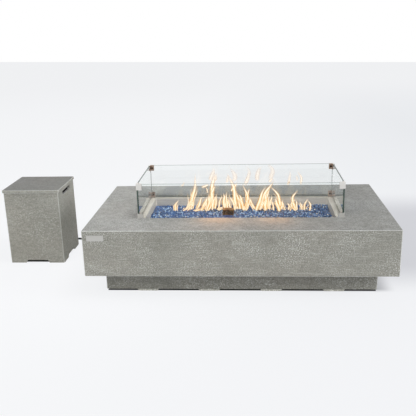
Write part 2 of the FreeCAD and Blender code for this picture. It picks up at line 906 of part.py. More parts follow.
def guard_screws():
    """All sixteen pinching screws."""
    out = []
    for z in (clip_top - clip_height / 2, clip_low + clip_height / 2):
        for screw in clip_screws(z):
            out += at_corners(screw)
    return pieces(out)


def guard_feet():
    """Rubber feet under the bottom clips, on the pan's flange."""
    thick = clip_plate + 2 * clip_gap + glass
    foot = corner_l(clip_gap, clip_leg - clip_plate, thick, clip_low - guard_foot, clip_low)
    return pieces(at_corners(foot))


# Controls

def screw_places():
    """Centres of the control plate's screws on the end face."""
    return [(sy * (control_length / 2 - screw_inset), control_z + sz * (control_height / 2 - screw_inset))
            for sy in (-1, 1) for sz in (-1, 1)]


def control_plate():
    """Satin plate over the cut-out in the end of the apron."""
    plate = block(left_face - control_sheet, left_face, -control_length / 2, control_length / 2,
                  control_z - control_height / 2, control_z + control_height / 2)
    plate = softened(plate, 6.0, lambda c, e: abs(e.Length - control_sheet) < 0.01)
    holes = [rod(screw_radius + 0.2, (left_face - 5, y, z), (left_face + 5, y, z)) for y, z in screw_places()]
    for y, radius in ((knob_y, bezel_radius), (igniter_y, igniter_radius)):
        holes.append(rod(radius + 0.2, (left_face - 5, y, control_z), (left_face + 5, y, control_z)))
    return plate.cut(holes)


def plate_screws():
    """Pan-head screws of the control plate."""
    out = []
    seat = left_face - control_sheet
    for y, z in screw_places():
        shank = rod(screw_radius, (seat, y, z), (left_face + screw_length - 1, y, z))
        head = Part.makeCone(screw_head, screw_head * 0.7, screw_head_height, V(seat, y, z), LEFT)
        slot = block(seat - screw_head_height - 1, seat - screw_head_height / 2, y - screw_head,
                     y + screw_head, z - 0.4, z + 0.4)
        out.append(joined([shank, head]).cut(slot))
    return pieces(out)


def valve_body():
    """Gas valve behind the plate, with its bezel, inlet, outlet and sensor ports."""
    y, z = knob_y, control_z
    back = left_face + valve_length
    case = block(left_face, back, y - valve_width / 2, y + valve_width / 2,
                 z - valve_height / 2, z + valve_height / 2)
    case = softened(case, 3.0, lambda c, e: abs(e.Length - valve_length) < 0.01)
    bezel = rod(bezel_radius, (left_face - control_sheet - bezel_nut_height, y, z), (left_face + 1, y, z))
    outlet = rod(port_boss, (back - 1, y, outlet_z), (back + port_boss_length, y, outlet_z))
    low = z - valve_height / 2
    inlet_port = rod(port_boss, (left_face + inlet_port_x, y, low - port_boss_length),
                     (left_face + inlet_port_x, y, low + 1))
    sensor_y = y + sensor_port_y
    sensor_z = lead_z - sensor_port_drop
    sensor = rod(sensor_port_radius, (back - 1, sensor_y, sensor_z),
                 (back + sensor_port_length, sensor_y, sensor_z))
    front = left_face - control_sheet - bezel_nut_height
    bore = rod(collar_radius + running_gap, (front - 1, y, z), (left_face + collar_start + 26, y, z))
    return joined([case, bezel, outlet, inlet_port, sensor]).cut(bore)


def valve_nut():
    """Thin nut that holds the valve to the plate."""
    seat = left_face - control_sheet
    nut = hex_bar(bezel_nut_width, (seat, knob_y, control_z), (seat - bezel_nut_height, knob_y, control_z))
    return nut.cut(rod(bezel_radius + thread_gap, (seat + 1, knob_y, control_z), (seat - 9, knob_y, control_z)))


def stem_collar():
    """Sleeve on the stem that the return spring bears on: it slides but doesn't turn."""
    start = left_face + collar_start
    sleeve = rod(collar_radius, (start, knob_y, control_z), (start + collar_length, knob_y, control_z))
    return sleeve.cut(rod(stem_radius + running_gap, (start - 1, knob_y, control_z),
                          (start + collar_length + 1, knob_y, control_z)))


def knob_back():
    """Plane of the knob's rim, far enough out to be pushed in."""
    return left_face - control_sheet - bezel_nut_height - push_travel - knob_gap


def valve_stem():
    """Stem through the collar, with a shoulder behind it and a flat for the knob."""
    behind = left_face + collar_start + collar_length + 0.2
    tip = knob_back() - knob_length + 6
    shaft = rod(stem_radius, (tip, knob_y, control_z), (behind + 9, knob_y, control_z))
    shoulder = rod(stem_radius + 2, (behind, knob_y, control_z), (behind + 2, knob_y, control_z))
    flat = block(tip - 1, knob_back(), knob_y - stem_radius, knob_y + stem_radius,
                 control_z + stem_radius * 0.6, control_z + stem_radius + 1)
    return joined([shaft, shoulder]).cut(flat)


def control_knob():
    """Round knob with a skirt, a grip bar and a pointer line."""
    skirt = Part.makeCylinder(knob_radius, 5)
    skirt = softened(skirt, 1.5, lambda c, e: c.z > 4.9)
    cone = Part.makeCone(knob_radius * 0.82, knob_radius * 0.72, knob_length)
    grip = centred(knob_radius * 1.5, knob_radius * 0.5, 4, knob_length)
    hollows = [Part.makeCylinder(knob_radius * 0.62, knob_length, V(0, side * knob_radius * 0.87, 7))
               for side in (-1, 1)]
    body = joined([skirt, joined([cone, grip]).cut(hollows)])
    pointer = centred(knob_radius * 0.3, 1.6, knob_length - 0.6, knob_length + 1, -knob_radius * 0.45, 0)
    bore = Part.makeCylinder(stem_radius + 0.02, knob_length - 6)
    flat = centred(4 * stem_radius, 4 * stem_radius, -1, knob_length, stem_radius * 2.6 + 0.02, 0)
    return lying(body.cut([pointer, bore.cut(flat)]), knob_back(), knob_y, control_z)


def igniter_module():
    """Battery spark module: a tube through the plate with a bezel in front."""
    y, z = igniter_y, control_z
    seat = left_face - control_sheet
    tube = rod(igniter_radius, (seat, y, z), (left_face + igniter_length, y, z))
    bezel = rod(igniter_bezel, (seat - igniter_bezel_sheet, y, z), (seat, y, z))
    bezel = softened(bezel, 1.2, lambda c, e: c.x < seat - igniter_bezel_sheet + 0.1)
    battery_end = left_face + igniter_length - 4
    room = rod(battery_radius + 0.4, (seat, y, z), (battery_end, y, z))
    guide = rod(button_radius + 0.3, (seat - igniter_bezel_sheet - 1, y, z),
                (battery_end - battery_length - 0.5, y, z))
    tail = rod(wire_radius + 0.2, (battery_end - 1, y, z), (left_face + igniter_length + 1, y, z))
    return joined([tube, bezel]).cut([room, guide, tail])


def igniter_nut():
    """Nut behind the plate that clamps the module."""
    nut = hex_bar(igniter_nut_width, (left_face, igniter_y, control_z),
                  (left_face + igniter_nut_height, igniter_y, control_z))
    return nut.cut(rod(igniter_radius + thread_gap, (left_face - 1, igniter_y, control_z),
                       (left_face + 20, igniter_y, control_z)))


def igniter_button():
    """Domed push button in the module's mouth."""
    button = Part.makeCylinder(button_radius, button_length)
    button = softened(button, 2.0, lambda c, e: c.z > button_length - 0.1)
    face = left_face - control_sheet - igniter_bezel_sheet - button_proud
    return lying(button, face + button_length, igniter_y, control_z)


def button_back():
    return left_face - control_sheet - igniter_bezel_sheet - button_proud + button_length


def battery_front():
    return left_face + igniter_length - 4 - battery_length


def igniter_spring():
    """Coil between the button and the battery's cap: quarter-turn arcs that meet at their tangents."""
    length = battery_front() - button_back() - 2 * spring_gap - 2 * spring_wire
    rise = length / (4 * spring_turns)
    reach = spring_radius * math.sqrt(2)
    corners = [V(reach * math.cos(math.pi / 2 * i), reach * math.sin(math.pi / 2 * i), rise * (i - 0.5))
               for i in range(4 * spring_turns + 2)]
    edges = []
    for before, corner, after in zip(corners, corners[1:], corners[2:]):
        start = (before + corner) / 2
        end = (corner + after) / 2
        half = (after - corner).getAngle(corner - before) / 2
        radius = (end - corner).Length / math.tan(half)
        middle = corner + ((before - corner) + (after - corner)).normalize() * (radius / math.cos(half) - radius)
        edges.append(Part.Arc(start, middle, end).toShape())
    coil = swept(Part.Wire(edges), spring_wire)
    print("spring pitch", round(4 * rise, 2), "least gap between turns", round(4 * rise - 2 * spring_wire, 2))
    return lying(coil, battery_front() - spring_gap - spring_wire, igniter_y, control_z)


def battery():
    """Dry cell, with its raised cap towards the button."""
    front = battery_front()
    cell = rod(battery_radius, (front + 1.5, igniter_y, control_z),
               (front + battery_length, igniter_y, control_z))
    return joined([cell, rod(2.8, (front, igniter_y, control_z), (front + 2, igniter_y, control_z))])


# Tubes and leads below the pan

def supply_tube():
    """Gas tube from the valve's outlet to the mixer's foot."""
    start = left_face + valve_length + port_boss_length
    foot = mixer_bottom - mixer_neck_length
    route = [(start, knob_y, outlet_z), (start + supply_straight, knob_y, outlet_z),
             (start + supply_straight + supply_slope, knob_y, supply_z), (0, 0, supply_z), (0, 0, foot)]
    return bent_bar(route, tube_radius, tube_bend)


def inlet_tube():
    """Gas tube from the inlet union to the valve's inlet."""
    x, y = inlet[0] - table_x, inlet[1]
    port = left_face + inlet_port_x
    port_low = control_z - valve_height / 2 - port_boss_length
    route = [(x, y, union_top), (x, y, union_top + tube_lead),
             (port + inlet_bend_x, y - inlet_bend_y, union_top + inlet_bend_rise),
             (port, knob_y, port_low - tube_lead), (port, knob_y, port_low)]
    return bent_bar(route, tube_radius, tube_bend)


def flare_nut(start, way):
    """Hex nut over the end of a gas tube."""
    a = V(*start)
    nut = hex_bar(flare_width, a, a + way * flare_length)
    return nut.cut(rod(tube_radius + thread_gap, a - way, a + way * (flare_length + 1)))


def flare_nuts():
    """Nuts at both ends of both gas tubes."""
    port_low = control_z - valve_height / 2 - port_boss_length
    return pieces([
        flare_nut((left_face + valve_length + port_boss_length, knob_y, outlet_z), RIGHT),
        flare_nut((0, 0, mixer_bottom - mixer_neck_length), DOWN),
        flare_nut((left_face + inlet_port_x, knob_y, port_low), DOWN),
        flare_nut((inlet[0] - table_x, inlet[1], union_top), UP)])


def ignition_wire():
    """Silicone lead from the spark module to the electrode's boot."""
    start = left_face + igniter_length - 4
    route = [(start, igniter_y, control_z), (start + lead_straight, igniter_y, control_z),
             (start + lead_straight + wire_slope, electrode_y, lead_z), (electrode_x - boot_radius, electrode_y, lead_z)]
    return bent_bar(route, wire_radius, wire_bend)


def thermocouple_lead():
    """Thin copper lead from the sensor to the valve."""
    start = left_face + valve_length + sensor_port_length
    y, z = knob_y + sensor_port_y, lead_z - sensor_port_drop
    route = [(start, y, z), (start + lead_straight, y, z),
             (start + lead_straight + probe_lead_slope, probe_y, lead_z), (probe_x - boot_radius, probe_y, lead_z)]
    return bent_bar(route, probe_lead_radius, wire_bend)


def wire_clips():
    """Clips that carry both leads along the pan's underside."""
    low_y = min(electrode_y, probe_y) - wire_radius - clip_block_margin
    high_y = max(electrode_y, probe_y) + wire_radius + clip_block_margin
    out = []
    for i in range(clip_block_count):
        x = clip_block_start + i * clip_block_spacing
        clip = block(x, x + clip_block, low_y, high_y, lead_z - wire_radius - clip_block_margin,
                     pan_floor - pan_sheet)
        cuts = [rod(wire_radius + 0.1, (x - 1, electrode_y, lead_z), (x + clip_block + 1, electrode_y, lead_z)),
                rod(probe_lead_radius + 0.1, (x - 1, probe_y, lead_z), (x + clip_block + 1, probe_y, lead_z))]
        out.append(clip.cut(cuts))
    return pieces(out)


# Inlet in the plinth

def inlet_bolt_axes():
    """Bolts of the inlet bracket: start under the head, and the way they point."""
    x = -bay_length / 2 + inlet_sheet
    z = inlet_plate_bottom + 12
    return [((x, inlet[1] + side * inlet_plate_width * 0.3, z), LEFT) for side in (-1, 1)]


def inlet_bracket():
    """Angle on the plinth's inner wall that holds the inlet union."""
    x0 = -bay_length / 2
    y0 = inlet[1] - inlet_plate_width / 2
    y1 = inlet[1] + inlet_plate_width / 2
    plate_top = inlet_plate_z + inlet_sheet
    shape = joined([block(x0, x0 + inlet_sheet, y0, y1, inlet_plate_bottom, plate_top),
                    block(x0, x0 + inlet_plate_reach, y0, y1, inlet_plate_z, plate_top)])
    shape = softened(shape, inlet_sheet - 0.5, lambda c, e: abs(c.x - x0) < 0.1
                     and abs(c.z - plate_top) < 0.1)
    holes = [bolt(foot, way, bolt_clearance, False) for foot, way in inlet_bolt_axes()]
    x = inlet[0] - table_x
    holes.append(rod(union_radius + 0.3, (x, inlet[1], inlet_plate_z - 5), (x, inlet[1], plate_top + 5)))
    return shape.cut(holes)


def inlet_union():
    """Bulkhead union through the bracket, with a hex above it and a locknut below."""
    x, y = inlet[0] - table_x, inlet[1]
    plate_top = inlet_plate_z + inlet_sheet
    return joined([rod(union_radius, (x, y, union_bottom), (x, y, union_top)),
                   hex_bar(union_hex, (x, y, plate_top), (x, y, plate_top + union_hex_height)),
                   hex_bar(union_hex, (x, y, inlet_plate_z - union_hex_height), (x, y, inlet_plate_z))])


# Hose

def gas_hose():
    """Rubber hose, drawn solid, from the regulator's ferrule to the inlet's."""
    path, radii = bent_path(hose_route)
    hose = swept(path, hose_radius)
    print("hose length", round(path.Length), "least radius", round(min(radii), 1),
          "radii", [round(r) for r in radii])
    print("hose volume over section times length",
          round(hose.Volume / (math.pi * hose_radius ** 2 * path.Length), 5))
    return hose


def hose_ferrule(x, y, z0, z1):
    """Crimped sleeve with two rolled grooves."""
    body = rod(ferrule_radius, (x, y, z0), (x, y, z1))
    length = z1 - z0
    grooves = []
    for share in (0.3, 0.6):
        z = z0 + share * length
        ring = rod(ferrule_radius + 1, (x, y, z), (x, y, z + 2))
        grooves.append(ring.cut(rod(ferrule_radius - 0.8, (x, y, z - 1), (x, y, z + 3))))
    return body.cut(grooves)


def hose_ferrules():
    x, y, z = hose_exit
    return pieces([hose_ferrule(x, y, z, elbow_bottom),
                   hose_ferrule(inlet[0], inlet[1], hose_end_z, swivel_bottom)])


def hose_swivel_nut():
    """Nut that joins the hose to the inlet union."""
    return hex_bar(swivel_hex, (inlet[0], inlet[1], swivel_bottom), (inlet[0], inlet[1], union_bottom))


# Tank cover

def notch_tool(x0, x1):
    """Low gap in the foot of a cover wall, with slanted ends, through a wall that faces X."""
    low, top = notch_bottom / 2, notch_top / 2
    outline = [V(x0, -low, -0.1), V(x0, low, -0.1), V(x0, top, notch_height), V(x0, -top, notch_height)]
    return Part.Face(Part.makePolygon(outline + outline[:1])).extrude(V(x1 - x0, 0, 0))


def tank_box():
    """Concrete box round the cylinder, open above and below, with hand slots and notches."""
    body = round_block(cover_side, cover_side, 0, box_top, cast_corner)
    inner = cover_side - 2 * cover_wall
    reach = cover_side / 2 + 1
    cuts = [centred(inner, inner, -1, box_top + 1)]
    for i in range(4):
        notch = notch_tool(inner / 2 - 1, reach)
        notch.rotate(V(0, 0, 0), UP, 90 * i)
        cuts.append(notch)
    slot_top = box_top - hand_slot_below
    for side in (-1, 1):
        slot = centred(cover_wall + 4, hand_slot_length, slot_top - hand_slot_height, slot_top,
                       side * (cover_side - cover_wall) / 2, 0)
        cuts.append(softened(slot, 8.0, lambda c, e: abs(e.Length - cover_wall - 4) < 0.01))
    return body.cut(cuts)


def tank_lid():
    """Lid that overhangs the box a little, bevelled under the overhang, with a lip that locates it."""
    low = box_top + lid_rest_gap
    slab_body = round_block(lid_side, lid_side, low, cover_height, cast_corner)
    slab_body = softened(slab_body, lid_edge, lambda c, e: c.z > cover_height - 0.1)
    bottom = [e for e in slab_body.Edges if e.CenterOfMass.z < low + 0.1]
    slab_body = slab_body.makeChamfer(lid_bevel, bottom)
    outside = cover_side - 2 * cover_wall - 2 * lid_lip_gap
    lip = centred(outside, outside, low - lid_lip_depth, low + 1)
    lip = lip.cut(centred(outside - 2 * lid_lip_wall, outside - 2 * lid_lip_wall,
                          low - lid_lip_depth - 1, low + 2))
    return joined([slab_body, lip])


# Cylinder, drawn with its outlet along +X

def crown_radius():
    """Radius of the dome's crown, which meets its knuckle tangentially and gives the dome its height."""
    flat = vessel_radius - knuckle_radius
    return (flat ** 2 + dome_height ** 2 - knuckle_radius ** 2) / (2 * (dome_height - knuckle_radius))


def dome_height_at(radius):
    """How far the crown stands over the vessel's straight part at a radius."""
    crown = crown_radius()
    return dome_height - crown + math.sqrt(crown ** 2 - radius ** 2)


def dome_arcs(z, sign):
    """Knuckle and crown of one dome, from the wall to the axis."""
    crown = crown_radius()
    knuckle_x = vessel_radius - knuckle_radius
    centre_z = z + sign * (dome_height - crown)
    lean = math.atan2(knuckle_x, crown - dome_height)

    def spot(x, z0, radius, angle):
        return V(x + radius * math.sin(angle), 0, z0 + sign * radius * math.cos(angle))

    knuckle = [spot(knuckle_x, z, knuckle_radius, a) for a in (math.pi / 2, (math.pi / 2 + lean) / 2, lean)]
    crown_spots = [spot(0, centre_z, crown, a) for a in (lean, lean / 2, 0)]
    return [knuckle, crown_spots]


def cylinder_shell():
    """Welded steel vessel with domed ends and a seam band."""
    top = dome_arcs(vessel_high, 1)
    low = dome_arcs(vessel_low, -1)
    edges = [Part.Arc(*spots).toShape() for spots in top + low]
    edges.append(Part.LineSegment(low[0][0], top[0][0]).toShape())
    edges.append(Part.LineSegment(low[1][2], top[1][2]).toShape())
    outline = Part.Wire(Part.__sortEdges__(edges))
    vessel = Part.Face(outline).revolve(V(0, 0, 0), UP, 360)
    middle = (vessel_low + vessel_high) / 2
    band = rod(vessel_radius + seam, (0, 0, middle - seam_width / 2), (0, 0, middle + seam_width / 2))
    return joined([vessel, band])


def cylinder_foot_ring():
    """Rolled foot under the vessel, with vent gaps."""
    top = vessel_low - dome_height_at(foot_ring_radius - ring_sheet) - weld_gap
    ring = rod(foot_ring_radius, (0, 0, 0), (0, 0, top))
    ring = ring.cut(rod(foot_ring_radius - ring_sheet, (0, 0, -1), (0, 0, top + 1)))
    vents = [rod(foot_vent_radius, (-foot_ring_radius - 5, 0, top / 2), (foot_ring_radius + 5, 0, top / 2)),
             rod(foot_vent_radius, (0, -foot_ring_radius - 5, top / 2), (0, foot_ring_radius + 5, top / 2))]
    return ring.cut(vents)


def cylinder_collar():
    """Guard ring round the valve, open at the outlet, with hand holes and a turned-in rim."""
    low = vessel_high + dome_height_at(guard_ring_radius - ring_sheet) + weld_gap
    ring = rod(guard_ring_radius, (0, 0, low), (0, 0, guard_ring_top))
    ring = ring.cut(rod(guard_ring_radius - ring_sheet, (0, 0, low - 1), (0, 0, guard_ring_top + 1)))
    rim = rod(guard_ring_radius, (0, 0, guard_ring_top - ring_sheet), (0, 0, guard_ring_top))
    rim = rim.cut(rod(guard_ring_radius - collar_rim, (0, 0, low), (0, 0, guard_ring_top + 1)))
    window = block(0, guard_ring_radius + 5, -guard_window / 2, guard_window / 2,
                   guard_window_low, guard_window_high)
    high = guard_ring_top - hand_hole_below
    hands = block(-hand_hole_length / 2, hand_hole_length / 2, -guard_ring_radius - 5,
                  guard_ring_radius + 5, high - hand_hole_height, high)
    return joined([ring, rim]).cut([window, hands])


def cylinder_valve():
    """Brass valve: foot, barrel, threaded outlet, relief port and spindle."""
    foot_low = vessel_high + dome_height + weld_gap
    return joined([rod(valve_foot_radius, (0, 0, foot_low), (0, 0, valve_foot_top)),
                   rod(valve_barrel, (0, 0, valve_foot_top - 1), (0, 0, valve_barrel_top)),
                   rod(outlet_thread, (0, 0, outlet_axis), (outlet_end, 0, outlet_axis)),
                   rod(relief_radius, (0, 0, outlet_axis), (-relief_end, 0, outlet_axis)),
                   rod(spindle_radius, (0, 0, valve_barrel_top - 1), (0, 0, spindle_top))])


def valve_handwheel():
    """Lobed wheel on the spindle."""
    wheel = rod(wheel_radius - wheel_lobe_radius / 2, (0, 0, wheel_low), (0, 0, wheel_low + wheel_height))
    lobes = []
    for i in range(wheel_lobes):
        a = 2 * math.pi * i / wheel_lobes
        reach = wheel_radius - wheel_lobe_radius
        x, y = reach * math.cos(a), reach * math.sin(a)
        lobes.append(rod(wheel_lobe_radius, (x, y, wheel_low), (x, y, wheel_low + wheel_height)))
    body = joined([wheel] + lobes)
    dish = rod(wheel_radius * 0.5, (0, 0, wheel_low + wheel_height * 0.6), (0, 0, wheel_low + wheel_height + 1))
    return body.cut([dish, rod(spindle_radius + running_gap, (0, 0, wheel_low - 1), (0, 0, spindle_top + 20))])


def regulator_nut():
    """Ribbed hand nut over the valve's outlet."""
    body = rod(hand_nut_radius, (hand_nut_start, 0, outlet_axis), (nut_end, 0, outlet_axis))
    body = softened(body, 3.0, lambda c, e: len(e.Vertexes) == 1)
    flutes = []
    for i in range(hand_nut_ribs):
        a = 2 * math.pi * i / hand_nut_ribs
        y = (hand_nut_radius + 2) * math.cos(a)
        z = outlet_axis + (hand_nut_radius + 2) * math.sin(a)
        flutes.append(rod(4, (hand_nut_start - 1, y, z), (nut_end - 12, y, z)))
    mouth = rod(outlet_thread + hand_nut_clearance, (hand_nut_start - 1, 0, outlet_axis),
                (outlet_end + 1, 0, outlet_axis))
    tail = rod(tailpiece_radius + hand_nut_clearance, (outlet_end, 0, outlet_axis), (nut_end + 1, 0, outlet_axis))
    return body.cut(flutes + [mouth, tail])


def regulator():
    """Two-bell regulator with a tailpiece into the hand nut and an elbow down to the hose."""
    middle = (regulator_low + regulator_high) / 2
    half = regulator_flange / 2
    profile = [(0, regulator_low), (regulator_bell * 0.6, regulator_low), (regulator_bell, regulator_low + 7),
               (regulator_bell, middle - half), (regulator_radius, middle - half),
               (regulator_radius, middle + half), (regulator_bell, middle + half),
               (regulator_bell * 0.9, regulator_high - 4), (regulator_bell * 0.6, regulator_high),
               (0, regulator_high)]
    bells = turned(profile, (regulator_x, 0.0))
    tail = rod(tailpiece_radius, (outlet_end + 1.3, 0, outlet_axis), (regulator_x - 10, 0, outlet_axis))
    elbow = rod(elbow_radius, (elbow_x, 0, elbow_bottom), (elbow_x, 0, elbow_top))
    elbow = softened(elbow, 4.0, lambda c, e: c.z > elbow_top - 0.1)
    arm = rod(elbow_radius * 0.8, (regulator_x, 0, middle), (elbow_x, 0, middle))
    lugs = []
    for i in range(6):
        a = math.radians(30 + 60 * i)
        x = regulator_x + (regulator_radius - 3.5) * math.cos(a)
        y = (regulator_radius - 3.5) * math.sin(a)
        lugs.append(rod(2.6, (x, y, middle + half - 0.5), (x, y, middle + half + 2.5)))
    return joined([bells, tail, elbow, arm] + lugs)


def regulator_cap():
    """Screw cap over the regulator's adjuster."""
    cap = rod(cap_radius, (regulator_x, 0, regulator_high), (regulator_x, 0, regulator_high + cap_height))
    return softened(cap, 2.0, lambda c, e: c.z > regulator_high + cap_height - 0.1)


on_table = {
    "table_shell": table_shell(),
    "base_plinth": base_plinth(),
    "plinth_feet": plinth_feet(),
    "shell_brackets": shell_brackets(),
    "bracket_bolts": bracket_bolts(),
    "name_plate": name_plate(),
    "pan_rim": pan_rim(),
    "burner_pan": burner_pan(),
    "burner_ring": burner_ring(),
    "burner_nipple": burner_nipple(),
    "pan_locknut": pan_locknut(),
    "air_mixer": air_mixer(),
    "pilot_shield": pilot_shield(),
    "igniter_electrode": igniter_electrode(),
    "thermocouple": thermocouple(),
    "fire_glass_bed": fire_glass_bed(),
    "fire_glass_chips": fire_glass_chips(),
    "guard_glass_front": guard_pane("front"),
    "guard_glass_back": guard_pane("back"),
    "guard_glass_left": guard_pane("left"),
    "guard_glass_right": guard_pane("right"),
    "guard_clips_top": guard_clips_top(),
    "guard_clips_bottom": guard_clips_bottom(),
    "guard_screws": guard_screws(),
    "guard_feet": guard_feet(),
    "control_plate": control_plate(),
    "plate_screws": plate_screws(),
    "valve_body": valve_body(),
    "valve_nut": valve_nut(),
    "stem_collar": stem_collar(),
    "valve_stem": valve_stem(),
    "control_knob": control_knob(),
    "igniter_module": igniter_module(),
    "igniter_nut": igniter_nut(),
    "igniter_button": igniter_button(),
    "igniter_spring": igniter_spring(),
    "igniter_battery": battery(),
    "supply_tube": supply_tube(),
    "inlet_tube": inlet_tube(),
    "flare_nuts": flare_nuts(),
    "ignition_wire": ignition_wire(),
    "thermocouple_lead": thermocouple_lead(),
    "wire_clips": wire_clips(),
    "inlet_bracket": inlet_bracket(),
    "inlet_union": inlet_union(),
}
at_cover = {
    "tank_box": tank_box(),
    "tank_lid": tank_lid(),
}
on_cylinder = {
    "cylinder_shell": cylinder_shell(),
    "cylinder_foot_ring": cylinder_foot_ring(),
    "cylinder_collar": cylinder_collar(),
    "cylinder_valve": cylinder_valve(),
    "valve_handwheel": valve_handwheel(),
    "regulator_nut": regulator_nut(),
    "regulator": regulator(),
    "regulator_cap": regulator_cap(),
}
in_place = {
    "gas_hose": gas_hose(),
    "hose_ferrules": hose_ferrules(),
    "hose_swivel_nut": hose_swivel_nut(),
}

for shape in on_table.values():
    shape.translate(V(table_x, 0, 0))
for shape in on_cylinder.values():
    shape.rotate(V(0, 0, 0), UP, port_angle)
for shape in list(at_cover.values()) + list(on_cylinder.values()):
    shape.translate(V(cover_x, cover_y, 0))

os.makedirs("parts", exist_ok=True)
for group in (on_table, at_cover, on_cylinder, in_place):
    for node, shape in group.items():
        if not shape.isValid():
            print("not valid:", node)
        shape.exportStep("parts/" + node + ".step")
        print(node, len(shape.Solids), "solids", round(shape.Volume), "mm3")
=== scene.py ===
"""Looks of a low cast concrete fire pit table with its tank cover, gas cylinder and hose.

Metres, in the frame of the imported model: +X along the table, away from the tank cover, +Y back, +Z up.
Pieces that are rigid and already right get a finish. The hose is a curve. The glass media, the panes, the
flames, the printed marks and the igniter's spring are surfaces worked out with numpy.
"""
import math

import bpy
import numpy as np
from mathutils import Matrix, Vector


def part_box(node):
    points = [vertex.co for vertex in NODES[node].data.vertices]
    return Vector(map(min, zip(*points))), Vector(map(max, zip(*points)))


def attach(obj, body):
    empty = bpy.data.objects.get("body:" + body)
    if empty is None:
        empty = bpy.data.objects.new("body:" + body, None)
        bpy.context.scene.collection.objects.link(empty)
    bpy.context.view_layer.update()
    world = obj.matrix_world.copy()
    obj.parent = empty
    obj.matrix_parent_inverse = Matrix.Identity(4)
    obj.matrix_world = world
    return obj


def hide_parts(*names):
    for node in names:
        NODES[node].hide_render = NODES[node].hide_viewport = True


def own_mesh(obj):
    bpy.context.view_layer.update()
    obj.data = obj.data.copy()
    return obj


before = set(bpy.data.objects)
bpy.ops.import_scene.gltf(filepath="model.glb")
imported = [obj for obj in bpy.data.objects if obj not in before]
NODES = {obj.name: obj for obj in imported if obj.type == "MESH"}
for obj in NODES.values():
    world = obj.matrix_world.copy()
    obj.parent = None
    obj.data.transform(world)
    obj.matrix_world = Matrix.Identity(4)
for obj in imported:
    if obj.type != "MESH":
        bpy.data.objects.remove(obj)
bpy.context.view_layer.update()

bl_info = {
    "name": "Fire pit table finish",
    "version": (1, 0, 0),
    "blender": (4, 5, 0),
    "location": "3D View > Sidebar > Fire pit",
    "description": "Finishes a concrete fire pit table, with its flames, wind guard, controls and hose",
    "category": "Object",
}


def linear(colour):
    """Linear RGBA of an sRGB hex colour."""
    parts = [int(colour[i:i + 2], 16) / 255 for i in (1, 3, 5)]
    return tuple(c / 12.92 if c <= 0.04045 else ((c + 0.055) / 1.055) ** 2.4 for c in parts) + (1.0,)


def add(tree, kind, inputs=None, **settings):
    """Adds one shader node. Settings are its own properties, inputs its sockets: a value, a socket to link,
    or a node, whose first output in use is linked."""
    node = tree.nodes.new("ShaderNode" + kind)
    for key, value in settings.items():
        setattr(node, key, value)
    for key, value in (inputs or {}).items():
        if isinstance(value, bpy.types.Node):
            value = next(output for output in value.outputs if output.enabled)
        if isinstance(value, bpy.types.NodeSocket):
            tree.links.new(value, node.inputs[key])
        else:
            node.inputs[key].default_value = value
    return node


def blank(kind, name):
    """A material or a world and its tree, empty."""
    made = kind.new(name)
    made.use_nodes = True
    made.node_tree.nodes.clear()
    return made, made.node_tree


def surface(material, kind, inputs):
    """Ends a material in a shader, and hands it back."""
    tree = material.node_tree
    add(tree, "OutputMaterial", {"Surface": add(tree, kind, inputs)})
    return material


def embossed(material, height, strength, distance, inputs):
    """Ends a material in a surface that a mask raises, by a distance in metres, and hands it back."""
    bump = add(material.node_tree, "Bump", {"Height": height, "Strength": strength, "Distance": distance})
    return surface(material, "BsdfPrincipled", {**inputs, "Normal": bump})


def joined(tree, how, *masks):
    """Takes masks together in turn: their product is where all of them are, their maximum where any is."""
    found = masks[0]
    for mask in masks[1:]:
        found = add(tree, "Math", {0: found, 1: mask}, operation=how)
    return found


def over(tree, under, tone, *masks, how="MIX"):
    """Lays a tone over what is under it, where all of the masks are."""
    share = joined(tree, "MULTIPLY", *masks)
    return add(tree, "Mix", {0: share, 6: under, 7: tone}, data_type="RGBA", blend_type=how)


def places(tree):
    """X, Y and Z of a point, in the object's own frame."""
    return add(tree, "SeparateXYZ", {"Vector": add(tree, "TexCoord").outputs["Object"]}).outputs


def cloudy(tree, size, stretch, detail):
    """Noise whose lumps are about size metres across, times stretch along each axis."""
    place, scale = add(tree, "TexCoord").outputs["Object"], [0.5 / (size * s) for s in stretch]
    place = add(tree, "Mapping", {"Vector": place, "Scale": scale})
    return add(tree, "TexNoise", {"Vector": place, "Scale": 2.0, "Detail": detail})


def lumps(tree, size, stretch=(1.0, 1.0, 1.0), low=0.3, high=0.7, detail=2.0):
    """A mask from 0 to 1 over the lumps of such a noise, between two of its values."""
    noise = cloudy(tree, size, stretch, detail)
    return add(tree, "MapRange", {"Value": noise, "From Min": low, "From Max": high})


def covered(tree, place, low, high, near, far):
    """A mask of what lies inside an upright box, which sets in between two depths behind its sides."""
    masks = []
    for axis, a, b in (("X", low.x, high.x), ("Y", low.y, high.y)):
        off, half = joined(tree, "SUBTRACT", place[axis], (a + b) / 2), (b - a) / 2
        off = add(tree, "Math", {0: off}, operation="ABSOLUTE")
        masks.append(add(tree, "MapRange", {"Value": off, "From Min": half - near, "From Max": half - far}))
    return joined(tree, "MULTIPLY", *masks)


def placed(name, data):
    """A new object in the scene, at the origin."""
    thing = bpy.data.objects.new(name, data)
    bpy.context.scene.collection.objects.link(thing)
    return thing


def new_piece(name, vertices, faces, materials, body, slot, smooth=True):
    """Makes a mesh piece from arrays, dresses it and puts it on its body."""
    mesh = bpy.data.meshes.new(name)
    mesh.from_pydata(np.asarray(vertices, float).tolist(), [], [list(face) for face in faces])
    for material in materials:
        mesh.materials.append(material)
    mesh.polygons.foreach_set("use_smooth", np.full(len(mesh.polygons), smooth))
    mesh.update()
    piece = placed(name, mesh)
    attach(piece, body)
    return piece


def point_value(piece, name, values):
    """Keeps one number per vertex for a material to read."""
    attribute = piece.data.attributes.new(name, "FLOAT", "POINT")
    attribute.data.foreach_set("value", np.asarray(values, np.float32).ravel())


def dress(material, *names):
    """Gives CAD nodes a finish."""
    for name in names:
        slots = NODES[name].material_slots
        for place in slots:
            place.material = material
        if not slots:
            NODES[name].data.materials.append(material)


